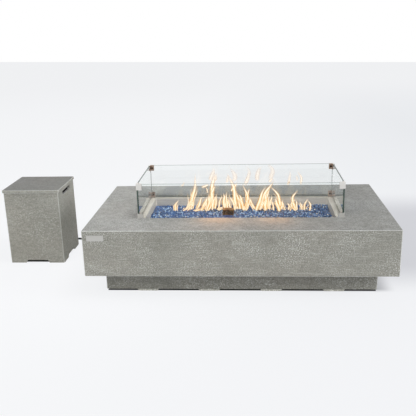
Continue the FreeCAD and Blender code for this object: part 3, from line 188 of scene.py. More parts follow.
def closed_grid(rows, around, first=0):
    """Faces of a tube of rings, each ring having the same number of points, closed by a fan at each end.
    The rings come first, row by row, then the start's pole and the end's pole."""
    row, top = np.arange(rows - 1)[:, None] * around, (rows - 1) * around
    a = np.arange(around)
    b = (a + 1) % around
    sides = np.stack([row + a, row + b, row + around + b, row + around + a], -1).reshape(-1, 4)
    low = np.stack([np.full(around, rows * around), b, a], -1)
    high = np.stack([np.full(around, rows * around + 1), top + a, top + b], -1)
    return [face for part in (sides, low, high) for face in (part + first).tolist()]


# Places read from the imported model
SHELL_LOW, SHELL_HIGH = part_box("table_shell")
TABLE_X = (SHELL_LOW.x + SHELL_HIGH.x) / 2
TOP_Z = SHELL_HIGH.z
BED_LOW, BED_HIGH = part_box("fire_glass_bed")
HOOD_LOW, HOOD_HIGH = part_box("pilot_shield")


def metres(name, description, default):
    """A size in metres that a user may change."""
    return bpy.props.FloatProperty(name=name, description=description, default=default, unit="LENGTH")


def hex_colour(name, description, default):
    """A colour that a user may change, from sRGB hex."""
    return bpy.props.FloatVectorProperty(name=name, description=description, size=3, subtype="COLOR",
                                         default=linear(default)[:3])


def watts(name, description, default):
    """The power of a lamp that a user may change."""
    return bpy.props.FloatProperty(name=name, description=description, default=default, subtype="POWER")


class FIREPIT_PG_concrete(bpy.types.PropertyGroup):
    """Cast concrete of the table and the tank cover."""
    tone: hex_colour("Tone", "Colour of the cured face", "#95958e")
    pale: hex_colour("Pale grains", "Colour of sand grains near the face", "#dfe1de")
    dark: hex_colour("Dark clouds", "Colour of the damp clouds", "#8a8a82")
    warm: hex_colour("Warm clouds", "Colour where the cement is browner", "#96938a")
    grain: metres("Grain", "Width of a pale grain", 0.005)
    depth: metres("Relief", "Height of the surface's relief", 0.0012)


class FIREPIT_PG_media(bpy.types.PropertyGroup):
    """Tumbled glass in the pan."""
    chip: metres("Chip", "Mean radius of a chip", 0.0078)
    pitch: metres("Pitch", "Distance between chips", 0.0118)
    layers: bpy.props.IntProperty(name="Layers", description="Layers of chips", default=2, min=1, max=4)
    heap: metres("Heap", "Height of the heaps", 0.006)


class FIREPIT_PG_flames(bpy.types.PropertyGroup):
    """The fire over the burner."""
    strength: bpy.props.FloatProperty(name="Strength", description="How bright the flames are", default=1.0)
    rings: bpy.props.IntProperty(name="Rings", description="Rings along a flame", default=18, min=6)
    around: bpy.props.IntProperty(name="Around", description="Points round a flame", default=8, min=6)


class FIREPIT_PG_guard(bpy.types.PropertyGroup):
    """Glass panes of the wind guard."""
    arris: metres("Arris", "Width of the ground chamfer on each edge", 0.0008)


class FIREPIT_PG_hose(bpy.types.PropertyGroup):
    """Gas hose."""
    diameter: metres("Diameter", "Outer diameter of the hose", 0.014)
    length: metres("Length", "Length between the ferrules", 1.278)


class FIREPIT_PG_stage(bpy.types.PropertyGroup):
    """Floor and lamps."""
    floor: hex_colour("Floor", "Colour of the floor as seen", "#f6f7f9")
    ambient: bpy.props.FloatProperty(name="Ambient", description="Strength of the light from all round",
                                     default=0.56)
    key: watts("Key lamp", "Power of the large lamp at the front left", 250.0)
    fill: watts("Fill lamp", "Power of the lamp at the right", 220.0)
    overhead: watts("Overhead lamp", "Power of the lamp over the left half", 5.0)
    glow: watts("Fire glow", "Power of the light that the fire gives", 0.46)


GROUPS = {
    "firepit_concrete": FIREPIT_PG_concrete,
    "firepit_media": FIREPIT_PG_media,
    "firepit_flames": FIREPIT_PG_flames,
    "firepit_guard": FIREPIT_PG_guard,
    "firepit_hose": FIREPIT_PG_hose,
    "firepit_stage": FIREPIT_PG_stage,
}


# Camera and hose

CAMERA_PLACE = Vector((0.38966, -3.73194, 1.52747))
CAMERA_LENS = 52.90
CAMERA_SENSOR = 36.0
CAMERA_TURN = (-4.0735, 16.869, -1.4964)     # yaw, pitch and roll in degrees


def camera_axes():
    """Right, up and forward of the camera: it looks along +Y, turned to the right by its yaw, down by its
    pitch, then rolled about its own line of sight."""
    yaw, pitch, roll = (math.radians(angle) for angle in CAMERA_TURN)
    forward = Vector((math.sin(yaw) * math.cos(pitch), math.cos(yaw) * math.cos(pitch), -math.sin(pitch)))
    right = Vector((math.cos(yaw), -math.sin(yaw), 0))
    up = right.cross(forward)
    return (math.cos(roll) * right + math.sin(roll) * up,
            -math.sin(roll) * right + math.cos(roll) * up, forward)


class FIREPIT_OT_camera(bpy.types.Operator):
    """Puts the camera where the photographer stood"""
    bl_idname = "firepit.camera"
    bl_label = "Camera"

    def execute(self, context):
        data = bpy.data.cameras.new("camera")
        data.sensor_width = CAMERA_SENSOR
        data.lens = CAMERA_LENS
        camera = placed("camera", data)
        right, up, forward = camera_axes()
        turn = Matrix((right, up, -forward)).transposed()
        camera.matrix_world = Matrix.Translation(CAMERA_PLACE) @ turn.to_4x4()
        context.scene.camera = camera
        return {"FINISHED"}


HOSE_ROUTE = [
    (-1.17448, 0.35723, 0.325), (-1.17448, 0.35723, 0.248), (-1.1775, 0.3595, 0.160),
    (-1.176, 0.359, 0.073), (-1.1521, 0.3611, 0.0314), (-1.1107, 0.3647, 0.007), (-1.057, 0.377, 0.007),
    (-1.016, 0.411, 0.007), (-0.990, 0.452, 0.007), (-0.955, 0.486, 0.007), (-0.908, 0.504, 0.007),
    (-0.850, 0.500, 0.007), (-0.788, 0.477, 0.007), (-0.714, 0.437, 0.007), (-0.636, 0.384, 0.007),
    (-0.566, 0.329, 0.007), (-0.516, 0.296, 0.007), (-0.470, 0.281, 0.007), (-0.428, 0.278, 0.007),
    (-0.3865, 0.277, 0.031), (-0.3625, 0.2765, 0.0726), (-0.3625, 0.2765, 0.118),
]


def hose_rubber():
    """EPDM rubber, extruded: black with a soft shine, dust in a fine grain along its skin."""
    material, tree = blank(bpy.data.materials, "hose rubber, extruded")
    dust = lumps(tree, 0.006, low=0.5, high=0.75)
    shine = add(tree, "MapRange", {"Value": dust, "To Min": 0.38, "To Max": 0.6})
    tone = over(tree, linear("#08090a"), linear("#1b1c1e"), dust)
    return embossed(material, dust, 0.2, 0.0003, {"Base Color": tone, "Roughness": shine})


class FIREPIT_OT_hose(bpy.types.Operator):
    """Lays the gas hose from the regulator to the inlet under the table"""
    bl_idname = "firepit.hose"
    bl_label = "Gas hose"

    def execute(self, context):
        sizes = context.scene.firepit_hose
        curve = bpy.data.curves.new("hose", "CURVE")
        curve.dimensions = "3D"
        spline = curve.splines.new("NURBS")
        spline.points.add(len(HOSE_ROUTE) - 1)
        for point, place in zip(spline.points, HOSE_ROUTE):
            point.co = (*place, 1.0)
        spline.order_u = 3
        spline.use_endpoint_u = True
        spline.resolution_u = 12
        curve.bevel_depth = sizes.diameter / 2
        curve.bevel_resolution = 6
        curve.materials.append(hose_rubber())
        hose = placed("hose", curve)
        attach(hose, "root")
        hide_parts("gas_hose")
        return {"FINISHED"}


# Concrete

TOP_TINT = (0.955, 0.962, 1.025, 1.0)    # painted reflection of the sky: how much cooler a face that lies flat is painted than one that stands


def veins(tree, size, stretch, thin):
    """A mask of thin wandering lines, about size apart, where a noise crosses its own middle."""
    gap = joined(tree, "SUBTRACT", cloudy(tree, size, stretch, 4.0), 0.5)
    gap = add(tree, "Math", {0: gap}, operation="ABSOLUTE")
    return add(tree, "MapRange", {"Value": gap, "From Min": thin, "From Max": thin * 0.3})


def cast_concrete(name, sizes, level=1.0, flat_level=1.0, speckle=1.0, flat_sheen=0.8):
    """Glass-fibre concrete, cast in a mould and acid-washed: matt, cloudy grey, salted all over with fine
    sand, with drifts of pale grains and hair-fine lime lines, short level lines from the pour, and pinholes
    painted dark, a painted shade in them. Its rounded edges are painted paler, a painted highlight. Sand and
    lines are drawn wider than real ones, so that they show. A casting's level paints all of it lighter or
    darker, and the face that lies flat gets painted light of its own: lighter or darker, and cooler, a
    painted reflection of the sky."""
    material, tree = blank(bpy.data.materials, name)
    clouds = lumps(tree, 0.15, (1.6, 1.6, 1.0), detail=5.0)
    warmth = lumps(tree, 0.3, (1.5, 1.5, 1.0), 0.35, 0.65)
    mottle = lumps(tree, 0.022, (1.6, 1.6, 1.0), detail=4.0)
    sand = lumps(tree, 0.006, (1.3, 1.3, 1.0), 0.28, 0.72, 9.0)
    lines = lumps(tree, 0.0035, (22.0, 22.0, 1.0), 0.56, 0.72)
    drifts = lumps(tree, 0.12, (1.5, 1.5, 1.0), 0.42, 0.68, 3.0)
    grains = lumps(tree, sizes.grain, (1.3, 1.3, 1.0), 0.55, 0.65)
    lime = veins(tree, 0.022, (1.9, 1.9, 1.0), 0.016)
    limed = lumps(tree, 0.14, (1.7, 1.7, 1.0), 0.58, 0.72)
    pits = lumps(tree, 0.0045, low=0.64, high=0.7, detail=0.0)

    normal = add(tree, "SeparateXYZ", {"Vector": add(tree, "NewGeometry").outputs["Normal"]}).outputs
    flat = add(tree, "MapRange", {"Value": normal["Z"], "From Min": 0.6, "From Max": 0.95})
    # Where the face turns, on the rounded edges, which get a painted highlight below
    squares = [joined(tree, "MULTIPLY", normal[axis], normal[axis]) for axis in "XYZ"]
    square = joined(tree, "MAXIMUM", *squares)
    edge = add(tree, "MapRange", {"Value": square, "From Min": 0.97, "From Max": 0.75})

    # The level paints the whole casting lighter or darker: painted light or shade on a copy of the one
    # concrete
    tone, dark, warm, pale = ([c * level for c in colour] + [1.0]
                              for colour in (sizes.tone, sizes.dark, sizes.warm, sizes.pale))
    drift = add(tree, "MapRange", {"Value": drifts, "To Min": 0.22})
    calm = add(tree, "MapRange", {"Value": flat, "To Min": speckle, "To Max": 0.5 * speckle})
    salted = 0.5 + 0.5 * speckle
    shade = over(tree, dark, tone, clouds)
    shade = over(tree, shade, warm, warmth, 0.5)
    for mask, least, most in ((sand, 1 - 0.32 * salted, 1 + 0.3 * salted), (mottle, 0.9, 1.08)):
        ripple = add(tree, "MapRange", {"Value": mask, "To Min": least, "To Max": most})
        shade = over(tree, shade, ripple, 1.0, how="MULTIPLY")
    shade = over(tree, shade, pale, lines, calm, 0.22)
    shade = over(tree, shade, pale, grains, drift, calm, 0.85)
    shade = over(tree, shade, pale, lime, limed, calm, 0.35)
    # Painted highlight on the rounded edges
    shade = over(tree, shade, pale, edge, 0.6 * salted)
    # Painted shade in the pinholes
    shade = over(tree, shade, linear("#56554f"), pits, 0.3)
    # Painted light on the face that lies flat: a lighter or darker level of its own, then a cooler tint, the
    # painted reflection of the sky
    top = add(tree, "MapRange", {"Value": flat, "To Min": 1.0, "To Max": flat_level})
    shade = over(tree, shade, top, 1.0, how="MULTIPLY")
    shade = over(tree, shade, TOP_TINT, flat, how="MULTIPLY")

    height = joined(tree, "SUBTRACT", joined(tree, "ADD", grains, sand), joined(tree, "MULTIPLY", pits, 2.0))
    rough = add(tree, "MapRange", {"Value": flat, "To Min": 0.86, "To Max": flat_sheen})
    return embossed(material, height, 0.3, sizes.depth,
                    {"Base Color": shade, "Roughness": rough, "Specular IOR Level": 0.4})


class FIREPIT_OT_concrete(bpy.types.Operator):
    """Finishes the castings: table top and apron, plinth, feet, tank cover and its lid"""
    bl_idname = "firepit.concrete"
    bl_label = "Concrete"

    def execute(self, context):
        sizes = context.scene.firepit_concrete
        # Painted light and shade by level: the plinth darker, in the apron's shade, the feet lighter where
        # the light reaches them, the lid paler with its top painted darker, and the table's top painted a
        # little lighter
        dress(cast_concrete("GFRC, cast table", sizes, flat_level=1.03, flat_sheen=0.7), "table_shell")
        dress(cast_concrete("GFRC, cast plinth", sizes, level=0.87), "base_plinth")
        dress(cast_concrete("GFRC, cast feet", sizes, level=1.75), "plinth_feet")
        dress(cast_concrete("GFRC, cast cover", sizes, speckle=0.4), "tank_box")
        dress(cast_concrete("GFRC, cast lid", sizes, level=1.1, flat_level=0.58, speckle=0.4), "tank_lid")
        return {"FINISHED"}


# Steel, brass and plastic

def brushed_steel(name, tone, roughness, along=(40.0, 1.0, 1.0), contrast=0.12, size=0.0012, metallic=1.0):
    """Stainless steel sheet, brushed: long fine scratches one way, satin shine. The brush lines are drawn
    about ten times as wide as real ones, so that they show."""
    material, tree = blank(bpy.data.materials, name)
    brush = lumps(tree, size, along, detail=3.0)
    light = add(tree, "MapRange", {"Value": brush, "To Min": 1.0 - contrast})
    haze = lumps(tree, 0.05)
    shine = add(tree, "MapRange", {"Value": haze, "To Min": roughness, "To Max": roughness + 0.1})
    shade = over(tree, linear(tone), light, 1.0, how="MULTIPLY")
    return embossed(material, brush, 0.12, 0.0003,
                    {"Base Color": shade, "Metallic": metallic, "Roughness": shine})


PLATE_SLACK = Vector((-0.0005, 0.0085, 0.0))     # from the panes' outer corner to the plates inside it


def clip_steel():
    """Stainless steel, satin blasted: pale outside, darker and tea-coloured in patches on the plates inside
    the glass.
    """
    material, tree = blank(bpy.data.materials, "stainless clips, satin blasted")
    low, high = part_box("guard_glass_front")[0] + PLATE_SLACK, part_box("guard_glass_back")[1] - PLATE_SLACK
    inside = covered(tree, places(tree), low, high, 0.0, 0.00001)
    stain = add(tree, "MapRange", {"Value": lumps(tree, 0.012), "To Min": 0.7})
    tone = over(tree, linear("#dedcd8"), linear("#a88c78"), inside, stain)
    return embossed(material, lumps(tree, 0.0015), 0.1, 0.0002,
                    {"Base Color": tone, "Metallic": 0.85, "Roughness": 0.42})


def heated_steel():
    """Stainless steel, blued and browned by flame: straw, bronze and a little blue in bands, dull shine."""
    material, tree = blank(bpy.data.materials, "stainless hood, heat tinted")
    soot = lumps(tree, 0.01, low=0.5, high=0.75, detail=3.0)
    tone = over(tree, linear("#6b4526"), linear("#c08a4e"), lumps(tree, 0.03, (1.0, 1.0, 0.5)))
    tone = over(tree, tone, linear("#241a14"), soot)
    return embossed(material, soot, 0.2, 0.0004, {"Base Color": tone, "Metallic": 0.9, "Roughness": 0.38})


def plain_metal(name, tone, roughness, worn):
    """A machined, cast or plated metal: one colour that is duller and darker where it has been handled."""
    material, tree = blank(bpy.data.materials, name)
    wear = lumps(tree, 0.004, low=0.35, high=0.75, detail=3.0)
    shine = add(tree, "MapRange", {"Value": wear, "To Min": roughness, "To Max": roughness + 0.18})
    shade = over(tree, linear(tone), linear(worn), wear)
    return embossed(material, wear, 0.08, 0.0003, {"Base Color": shade, "Metallic": 1.0, "Roughness": shine})


def moulded(name, tone, worn, roughness, size=0.0012):
    """A moulded or fired dielectric, such as nylon, ceramic or powder coat: fine texture, soft highlight."""
    material, tree = blank(bpy.data.materials, name)
    scuff = lumps(tree, size * 12, low=0.55, high=0.8, detail=4.0)
    shade = over(tree, linear(tone), linear(worn), scuff)
    return embossed(material, lumps(tree, size), 0.15, 0.0002, {"Base Color": shade, "Roughness": roughness})


class FIREPIT_OT_burner(bpy.types.Operator):
    """Finishes the pan, the loop burner, its mixer and nuts, and the pilot group"""
    bl_idname = "firepit.burner"
    bl_label = "Burner"

    def execute(self, context):
        dress(brushed_steel("stainless pan, pickled", "#e6dfd3", 0.45, contrast=0.25, size=0.004,
                            metallic=0.35), "burner_pan", "pan_rim")
        dress(brushed_steel("stainless burner, heat hazed", "#8f8478", 0.4), "burner_ring")
        dress(heated_steel(), "pilot_shield", "thermocouple")
        dress(plain_metal("steel, zinc plated", "#b6b9ba", 0.34, "#8e9294"), "burner_nipple", "pan_locknut")
        dress(plain_metal("brass, machined", "#c9a35a", 0.26, "#94713a"), "air_mixer")
        dress(moulded("alumina, fired", "#e8e2d4", "#c9c0ad", 0.35), "igniter_electrode")
        return {"FINISHED"}


# Glass media

def tumbled_glass():
    """Soda glass, crushed, tumbled and part mirrored: cobalt chips from navy to sky blue, some almost clear
    and some silvered, with a wet shine."""
    material, tree = blank(bpy.data.materials, "fire glass, tumbled")
    tint, mirror = (add(tree, "Attribute", attribute_name=name).outputs["Fac"]
                    for name in ("tint", "mirror"))
    low = add(tree, "MapRange", {"Value": tint, "From Max": 0.55})
    high = add(tree, "MapRange", {"Value": tint, "From Min": 0.55})
    tone = linear("#12335f")
    for share, colour in ((low, "#3569a8"), (high, "#b4d2ee"), (mirror, "#e6e2d6")):
        tone = over(tree, tone, linear(colour), share)
    return surface(material, "BsdfPrincipled", {
        "Base Color": tone, "Metallic": mirror, "Roughness": 0.12, "IOR": 1.52, "Coat Weight": 0.3,
        "Coat Roughness": 0.05})


CHIP_SEED = 7
CHIP_SINK = 0.006            # how far the lowest layer lies under the top of the bed
CHIP_RISE = 0.0065           # from one layer to the next
CHIP_TOSS = 0.0025           # how far a chip may lie over or under its layer
CHIP_STRAY = 0.42            # how far it may stray from its place in the grid, in pitches
CHIP_KNOCKS = (0.78, 1.12)   # how far its corners lie from its middle, in radii
CHIP_SIDES = (0.55, 1.15)    # how far it is drawn out along each of its axes
CHIP_TINT = (0.43, 0.3)      # mean and spread of the tint, from 0, navy, to 1, almost clear
CHIP_MIRROR = (0.035, 0.8)   # share of the chips that are silvered, and how far
CHIP_CORNERS = 12
ICOSAHEDRON_FACES = [
    (0, 11, 5), (0, 5, 1), (0, 1, 7), (0, 7, 10), (0, 10, 11), (1, 5, 9), (5, 11, 4), (11, 10, 2),
    (10, 7, 6), (7, 1, 8), (3, 9, 4), (3, 4, 2), (3, 2, 6), (3, 6, 8), (3, 8, 9), (4, 9, 5), (2, 4, 11),
    (6, 2, 10), (8, 6, 7), (9, 8, 1)]


def icosahedron():
    """The twelve corners of an icosahedron of radius one: (0, 1, g) with all signs and cyclic orders."""
    g = (1 + math.sqrt(5)) / 2
    corners = [(-1, g, 0), (1, g, 0), (-1, -g, 0), (1, -g, 0), (0, -1, g), (0, 1, g), (0, -1, -g),
               (0, 1, -g), (g, 0, -1), (g, 0, 1), (-g, 0, -1), (-g, 0, 1)]
    return np.array(corners, float) / math.sqrt(1 + g * g)


def random_turns(dice, count):
    """Rotation matrices spread evenly over all turns, from random unit quaternions (w, v): each is
    (2 w^2 - 1) I + 2 v v^T + 2 w [v], where [v] is the matrix of the cross product with v."""
    q = dice.normal(size=(count, 4))
    q = q / np.linalg.norm(q, axis=1, keepdims=True)
    w, v = q[:, :1, None], q[:, 1:]
    crossed = np.cross(np.eye(3), v[:, None])
    return (2 * w * w - 1) * np.eye(3) + 2 * v[:, :, None] * v[:, None] + 2 * w * crossed


def heap_height(x, y):
    """Low heaps of the media: a sum of three slow waves, from -1 to 1."""
    return (np.sin(9.1 * x + 2.0) * np.cos(13.7 * y + 0.6) + np.sin(21.0 * x - 17.0 * y)
            + 0.6 * np.cos(34.0 * x + 25.0 * y + 1.0)) / 2.6


def chip_places(dice, sizes):
    """Centres of the chips: a jittered grid per layer, over the bed and clear of its walls and the hood."""
    margin = sizes.chip * 0.45
    low, high = np.array(BED_LOW.xy) + margin, np.array(BED_HIGH.xy) - margin
    layers = []
    for layer in range(sizes.layers):
        shift = 0.5 * sizes.pitch * (layer % 2)
        rows = [np.arange(start + shift, end, sizes.pitch) for start, end in zip(low, high)]
        grid = np.reshape(np.meshgrid(*rows, indexing="ij"), (2, -1))
        grid = grid + dice.uniform(-CHIP_STRAY, CHIP_STRAY, grid.shape) * sizes.pitch
        x, y = np.clip(grid, low[:, None], high[:, None])
        z = BED_HIGH.z - CHIP_SINK + CHIP_RISE * layer + dice.uniform(-CHIP_TOSS, CHIP_TOSS, x.shape)
        layers.append(np.stack([x, y, z + sizes.heap * heap_height(x, y)], -1))
    centres = np.concatenate(layers)
    flat = centres[:, :2]
    in_hood = (flat > np.array(HOOD_LOW.xy) - margin) & (flat < np.array(HOOD_HIGH.xy) + margin)
    return centres[~in_hood.all(1)]


class FIREPIT_OT_media(bpy.types.Operator):
    """Fills the pan with tumbled glass chips"""
    bl_idname = "firepit.media"
    bl_label = "Fire glass"

    def execute(self, context):
        sizes = context.scene.firepit_media
        dice = np.random.default_rng(CHIP_SEED)
        centres = chip_places(dice, sizes)
        count = len(centres)
        corners = icosahedron()[None] * dice.uniform(*CHIP_KNOCKS, (count, CHIP_CORNERS, 1))
        corners = corners * dice.uniform(*CHIP_SIDES, (count, 1, 3)) * sizes.chip
        corners = np.einsum("nij,nkj->nki", random_turns(dice, count), corners) + centres[:, None]
        faces = np.array(ICOSAHEDRON_FACES)[None] + np.arange(count)[:, None, None] * CHIP_CORNERS
        chips = new_piece("fire_glass_loose", corners.reshape(-1, 3), faces.reshape(-1, 3),
                          [tumbled_glass()], "root", "blue_glass", smooth=False)
        tint = np.clip(dice.normal(*CHIP_TINT, count), 0, 1)
        mirror = (dice.uniform(size=count) < CHIP_MIRROR[0]) * CHIP_MIRROR[1]
        point_value(chips, "tint", np.repeat(tint, CHIP_CORNERS))
        point_value(chips, "mirror", np.repeat(mirror, CHIP_CORNERS))
        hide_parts("fire_glass_chips")
        dress(moulded("fire glass, packed below", "#2c4a80", "#4669a6", 0.2, 0.004), "fire_glass_bed")
        return {"FINISHED"}


# Flames

# Tongues of flame, in millimetres from the middle of the burner: where each stands along the pan, its foot
# and its tip above the media, how far its tip leans and its middle bows to the right, and its half width.
# The last number is how solid it is, from 0 to 1.
TONGUES = [
    (-425, 5, 75, 20, -8, 7, 1), (-418, 5, 45, 5, 0, 5, 0.8), (-375, 5, 40, 35, 5, 5, 0.8),
    (-355, 5, 180, 50, 15, 8, 1), (-322, 5, 240, 42, -5, 9, 1), (-285, 10, 90, 30, 5, 9, 1),
    (-255, 5, 100, 38, 5, 11, 1), (-225, 5, 115, 20, 8, 9, 1), (-212, 0, 265, 38, 12, 14, 1),
    (-184, 10, 115, 0, 6, 8, 0.9), (-166, 10, 112, 12, 0, 8, 1), (-145, 5, 112, 22, 0, 6, 0.9),
    (-152, 5, 25, 45, -5, 7, 0.8), (-300, 0, 18, 85, -5, 6, 0.9), (-99, 5, 135, -7, -5, 11, 1),
    (-80, 5, 128, -4, -8, 8, 1), (-66, 10, 96, -14, 0, 6, 0.8), (-28, 5, 238, -45, 8, 13, 1),
    (-4, 5, 130, -32, 8, 12, 1), (16, 5, 120, -34, 10, 11, 1), (29, 10, 178, -10, 18, 9, 1),
    (30, 5, 150, 20, 8, 11, 1), (98, 0, 90, -44, -6, 8, 0.9), (100, 5, 162, 68, -8, 11, 1),
    (124, 5, 222, 84, -5, 11, 1), (163, 0, 124, 4, -6, 14, 1), (182, 5, 134, -4, -8, 9, 1),
    (184, 10, 106, 17, 3, 6, 0.9), (216, 0, 74, -13, 0, 6, 0.9), (250, 0, 88, -32, 4, 12, 1),
    (256, 5, 175, -70, 24, 10, 1), (260, 5, 76, 14, 2, 7, 0.9), (288, 5, 58, -14, 0, 4, 0.8),
    (309, 0, 55, -8, 8, 7, 0.9), (362, 0, 130, 4, -26, 10, 1), (366, 5, 78, -10, 0, 6, 0.8),
    (394, 5, 64, -14, 6, 6, 0.8), (413, 0, 74, 20, -6, 6, 1), (446, 0, 74, -12, 8, 6, 1),
    (-385, 160, 190, 20, 5, 5, 0.5), (-250, 160, 182, 45, 8, 8, 0.7), (-214, 120, 160, -16, 6, 5, 0.6),
    (-186, 120, 172, 26, 0, 8, 0.8), (-196, 205, 278, 22, 6, 12, 0.4), (-160, 186, 240, 12, -7, 8, 0.4),
    (-88, 192, 246, 4, 6, 8, 0.4), (-60, 132, 184, 42, 0, 9, 0.9), (-44, 188, 292, -22, 20, 12, 0.3),
    (26, 176, 282, 22, 16, 11, 0.4), (112, 186, 290, 32, -16, 13, 0.35), (184, 196, 228, 22, 0, 8, 0.6),
    (188, 210, 296, -8, 22, 13, 0.35), (302, 160, 182, 14, 4, 6, 0.6), (302, 186, 268, 8, 8, 8, 0.4),
    (388, 162, 240, -16, 12, 7, 0.5), (362, 202, 250, -8, 0, 6, 0.35),
]
STANDING = 50            # a tongue whose foot is lower than this stands in the media
STRANDS = 3              # thinner tongues beside each one that stands in the media
SWAY = 0.2               # to the front and back, as a share of the height
WAVE = 0.045             # to the sides, as a share of the length
BACKS = (62, 112)        # how far the tongues stand behind the middle of the burner
FLAME_LIFT = 0.007       # from the top of the bed to the top of the loose chips, in metres
FLAME_SEED = 11
# Layers of a tongue, from outside in: its share of the width, its colour, how much it hides, how bright it is
# and how fast it fades
FLAME_LAYERS = [
    ("flame_outer", 1.25, "#f4a63c", 0.27, 1.0, 0.7),
    ("flame_middle", 0.8, "#fde092", 0.42, 1.03, 1.1),
    ("flame_core", 0.5, "#fffdf4", 1.0, 1.7, 1.2),
]


def burning_gas(name, colour, cover, strength, fall):
    """Burning gas: it gives light, hides little, and fades at its foot and its tip, the hotter the sooner."""
    material, tree = blank(bpy.data.materials, name)
    solid = add(tree, "Attribute", attribute_name="solid").outputs["Fac"]
    share = joined(tree, "MULTIPLY", joined(tree, "POWER", solid, fall), cover)
    glow = add(tree, "Emission", {"Color": linear(colour), "Strength": strength})
    return surface(material, "MixShader", {0: share, 1: add(tree, "BsdfTransparent"), 2: glow})


def beside(dice, tongue):
    """A thinner, lower tongue that rises beside another one."""
    along, foot, tip, lean, bow, half, solid = tongue
    return (along + dice.uniform(-13, 13), foot, foot + (tip - foot) * dice.uniform(0.35, 0.85),
            lean * dice.uniform(0.4, 1.2) + dice.uniform(-8, 8), bow + dice.uniform(-5, 5),
            half * dice.uniform(0.3, 0.55), solid * dice.uniform(0.5, 0.95))


def lick(tongue, back, phase, sizes, share):
    """One tongue of flame: rings square to a line that leans, bows and waves, and that sways to the front and
    back as it rises. The half width is h (1 - u)^0.6 (0.6 + 1.1 sqrt(u)) at a share u of the height. Returns
    its vertices and how solid each is: less so with height, over the first 15 % and over the last 40 %."""
    along, foot, tip, lean, bow, half, solid = tongue
    u = np.linspace(0, 1, sizes.rings)[:, None]
    z = foot + (tip - foot) * u
    x = along + lean * u + bow * np.sin(np.pi * u) + WAVE * (tip - foot) * u * np.sin(8 * u + phase)
    wide = np.maximum(half * share * (1 - u) ** 0.6 * (0.6 + 1.1 * np.sqrt(u)), 0.3)
    run = np.gradient(np.hstack([x, z]), axis=0)
    run = run / np.linalg.norm(run, axis=1, keepdims=True)
    y = back + SWAY * z * np.sin(z / 60 + phase)
    turn = np.linspace(0, 2 * np.pi, sizes.around, endpoint=False)[None]
    ring = np.stack([x - run[:, 1:] * wide * np.cos(turn), y - 0.7 * wide * np.sin(turn),
                     z + run[:, :1] * wide * np.cos(turn)], -1).reshape(-1, 3)
    poles = np.array([[x[0, 0], y[0, 0], z[0, 0]], [x[-1, 0], y[-1, 0], z[-1, 0]]])
    thin = np.clip(1.25 - z / 260, 0.35, 1)
    thin = thin * np.clip(0.3 + u / 0.15, 0.3, 1) * np.clip((1 - u) / 0.4, 0.1, 1)
    thin = np.concatenate([np.repeat(thin, sizes.around), thin[[0, -1], 0]]) * solid
    return np.concatenate([ring, poles]) / 1000, thin


class FIREPIT_OT_flames(bpy.types.Operator):
    """Lights the burner"""
    bl_idname = "firepit.flames"
    bl_label = "Flames"

    def execute(self, context):
        sizes = context.scene.firepit_flames
        foot = np.array([TABLE_X, (BED_LOW.y + BED_HIGH.y) / 2, BED_HIGH.z + FLAME_LIFT])
        dice = np.random.default_rng(FLAME_SEED)
        standing = [tongue for tongue in TONGUES if tongue[1] < STANDING]
        tongues = TONGUES + [beside(dice, tongue) for tongue in standing for _ in range(STRANDS)]
        backs = dice.uniform(*BACKS, len(tongues))
        for name, share, colour, cover, strength, fall in FLAME_LAYERS:
            points, faces, solids = [], [], []
            for index, (tongue, back) in enumerate(zip(tongues, backs)):
                loop, thin = lick(tongue, back, 2.4 * index, sizes, share)
                faces += closed_grid(sizes.rings, sizes.around, index * len(loop))
                points.append(loop + foot)
                solids.append(thin)
            gas = burning_gas(name + " gas", colour, cover, strength * sizes.strength, fall)
            flame = new_piece(name, np.concatenate(points), faces, [gas], "root", None)
            point_value(flame, "solid", np.concatenate(solids))
        return {"FINISHED"}


# Wind guard

def float_glass():
    """Float glass, polished: clear, with the faint green of its iron."""
    material = blank(bpy.data.materials, "float glass, polished")[0]
    return surface(material, "BsdfPrincipled", {
        "Base Color": linear("#fbfdfc"), "Roughness": 0.0, "IOR": 1.5, "Transmission Weight": 1.0})


def glass_edge(name, deep, light):
    """Float glass, ground edge: the bottle green that it shows seen end on through the pane is painted into
    its colour, between a deep and a light green. Its copies, deep, middling and pale, are painted light and
    shade, given to each edge face by which way it points.
    """
    material, tree = blank(bpy.data.materials, name)
    tone = over(tree, linear(deep), linear(light), lumps(tree, 0.004, (1.0, 1.0, 6.0)))
    return surface(material, "BsdfPrincipled", {"Base Color": tone, "Roughness": 0.25, "IOR": 1.5})


def pane_mesh(low, high, arris):
    """A box whose twelve edges are ground off: its 24 points are each corner, pushed in by the arris along
    two of the three axes in turn. It has a face for each way of a 3 x 3 x 3 grid but the middle: 6 sides, 12
    chamfers and 8 small corners. A face is the points that reach furthest that way, in order round it."""
    corner = np.indices((2, 2, 2)).reshape(3, 8).T[:, None]
    points = np.array(low) + corner * np.array(high - low) + arris * (1 - 2 * corner) * (1 - np.eye(3))
    points = points.reshape(24, 3)
    faces = []
    for way in np.indices((3, 3, 3)).reshape(3, 27).T - 1:
        if way.any():
            reach = points @ way
            face = np.flatnonzero(reach > reach.max() - arris / 2)
            spread = points[face] - points[face].mean(0)
            angle = np.arctan2(spread @ np.cross(way, spread[0]), spread @ spread[0])
            faces.append(face[np.argsort(angle)])
    return points, faces


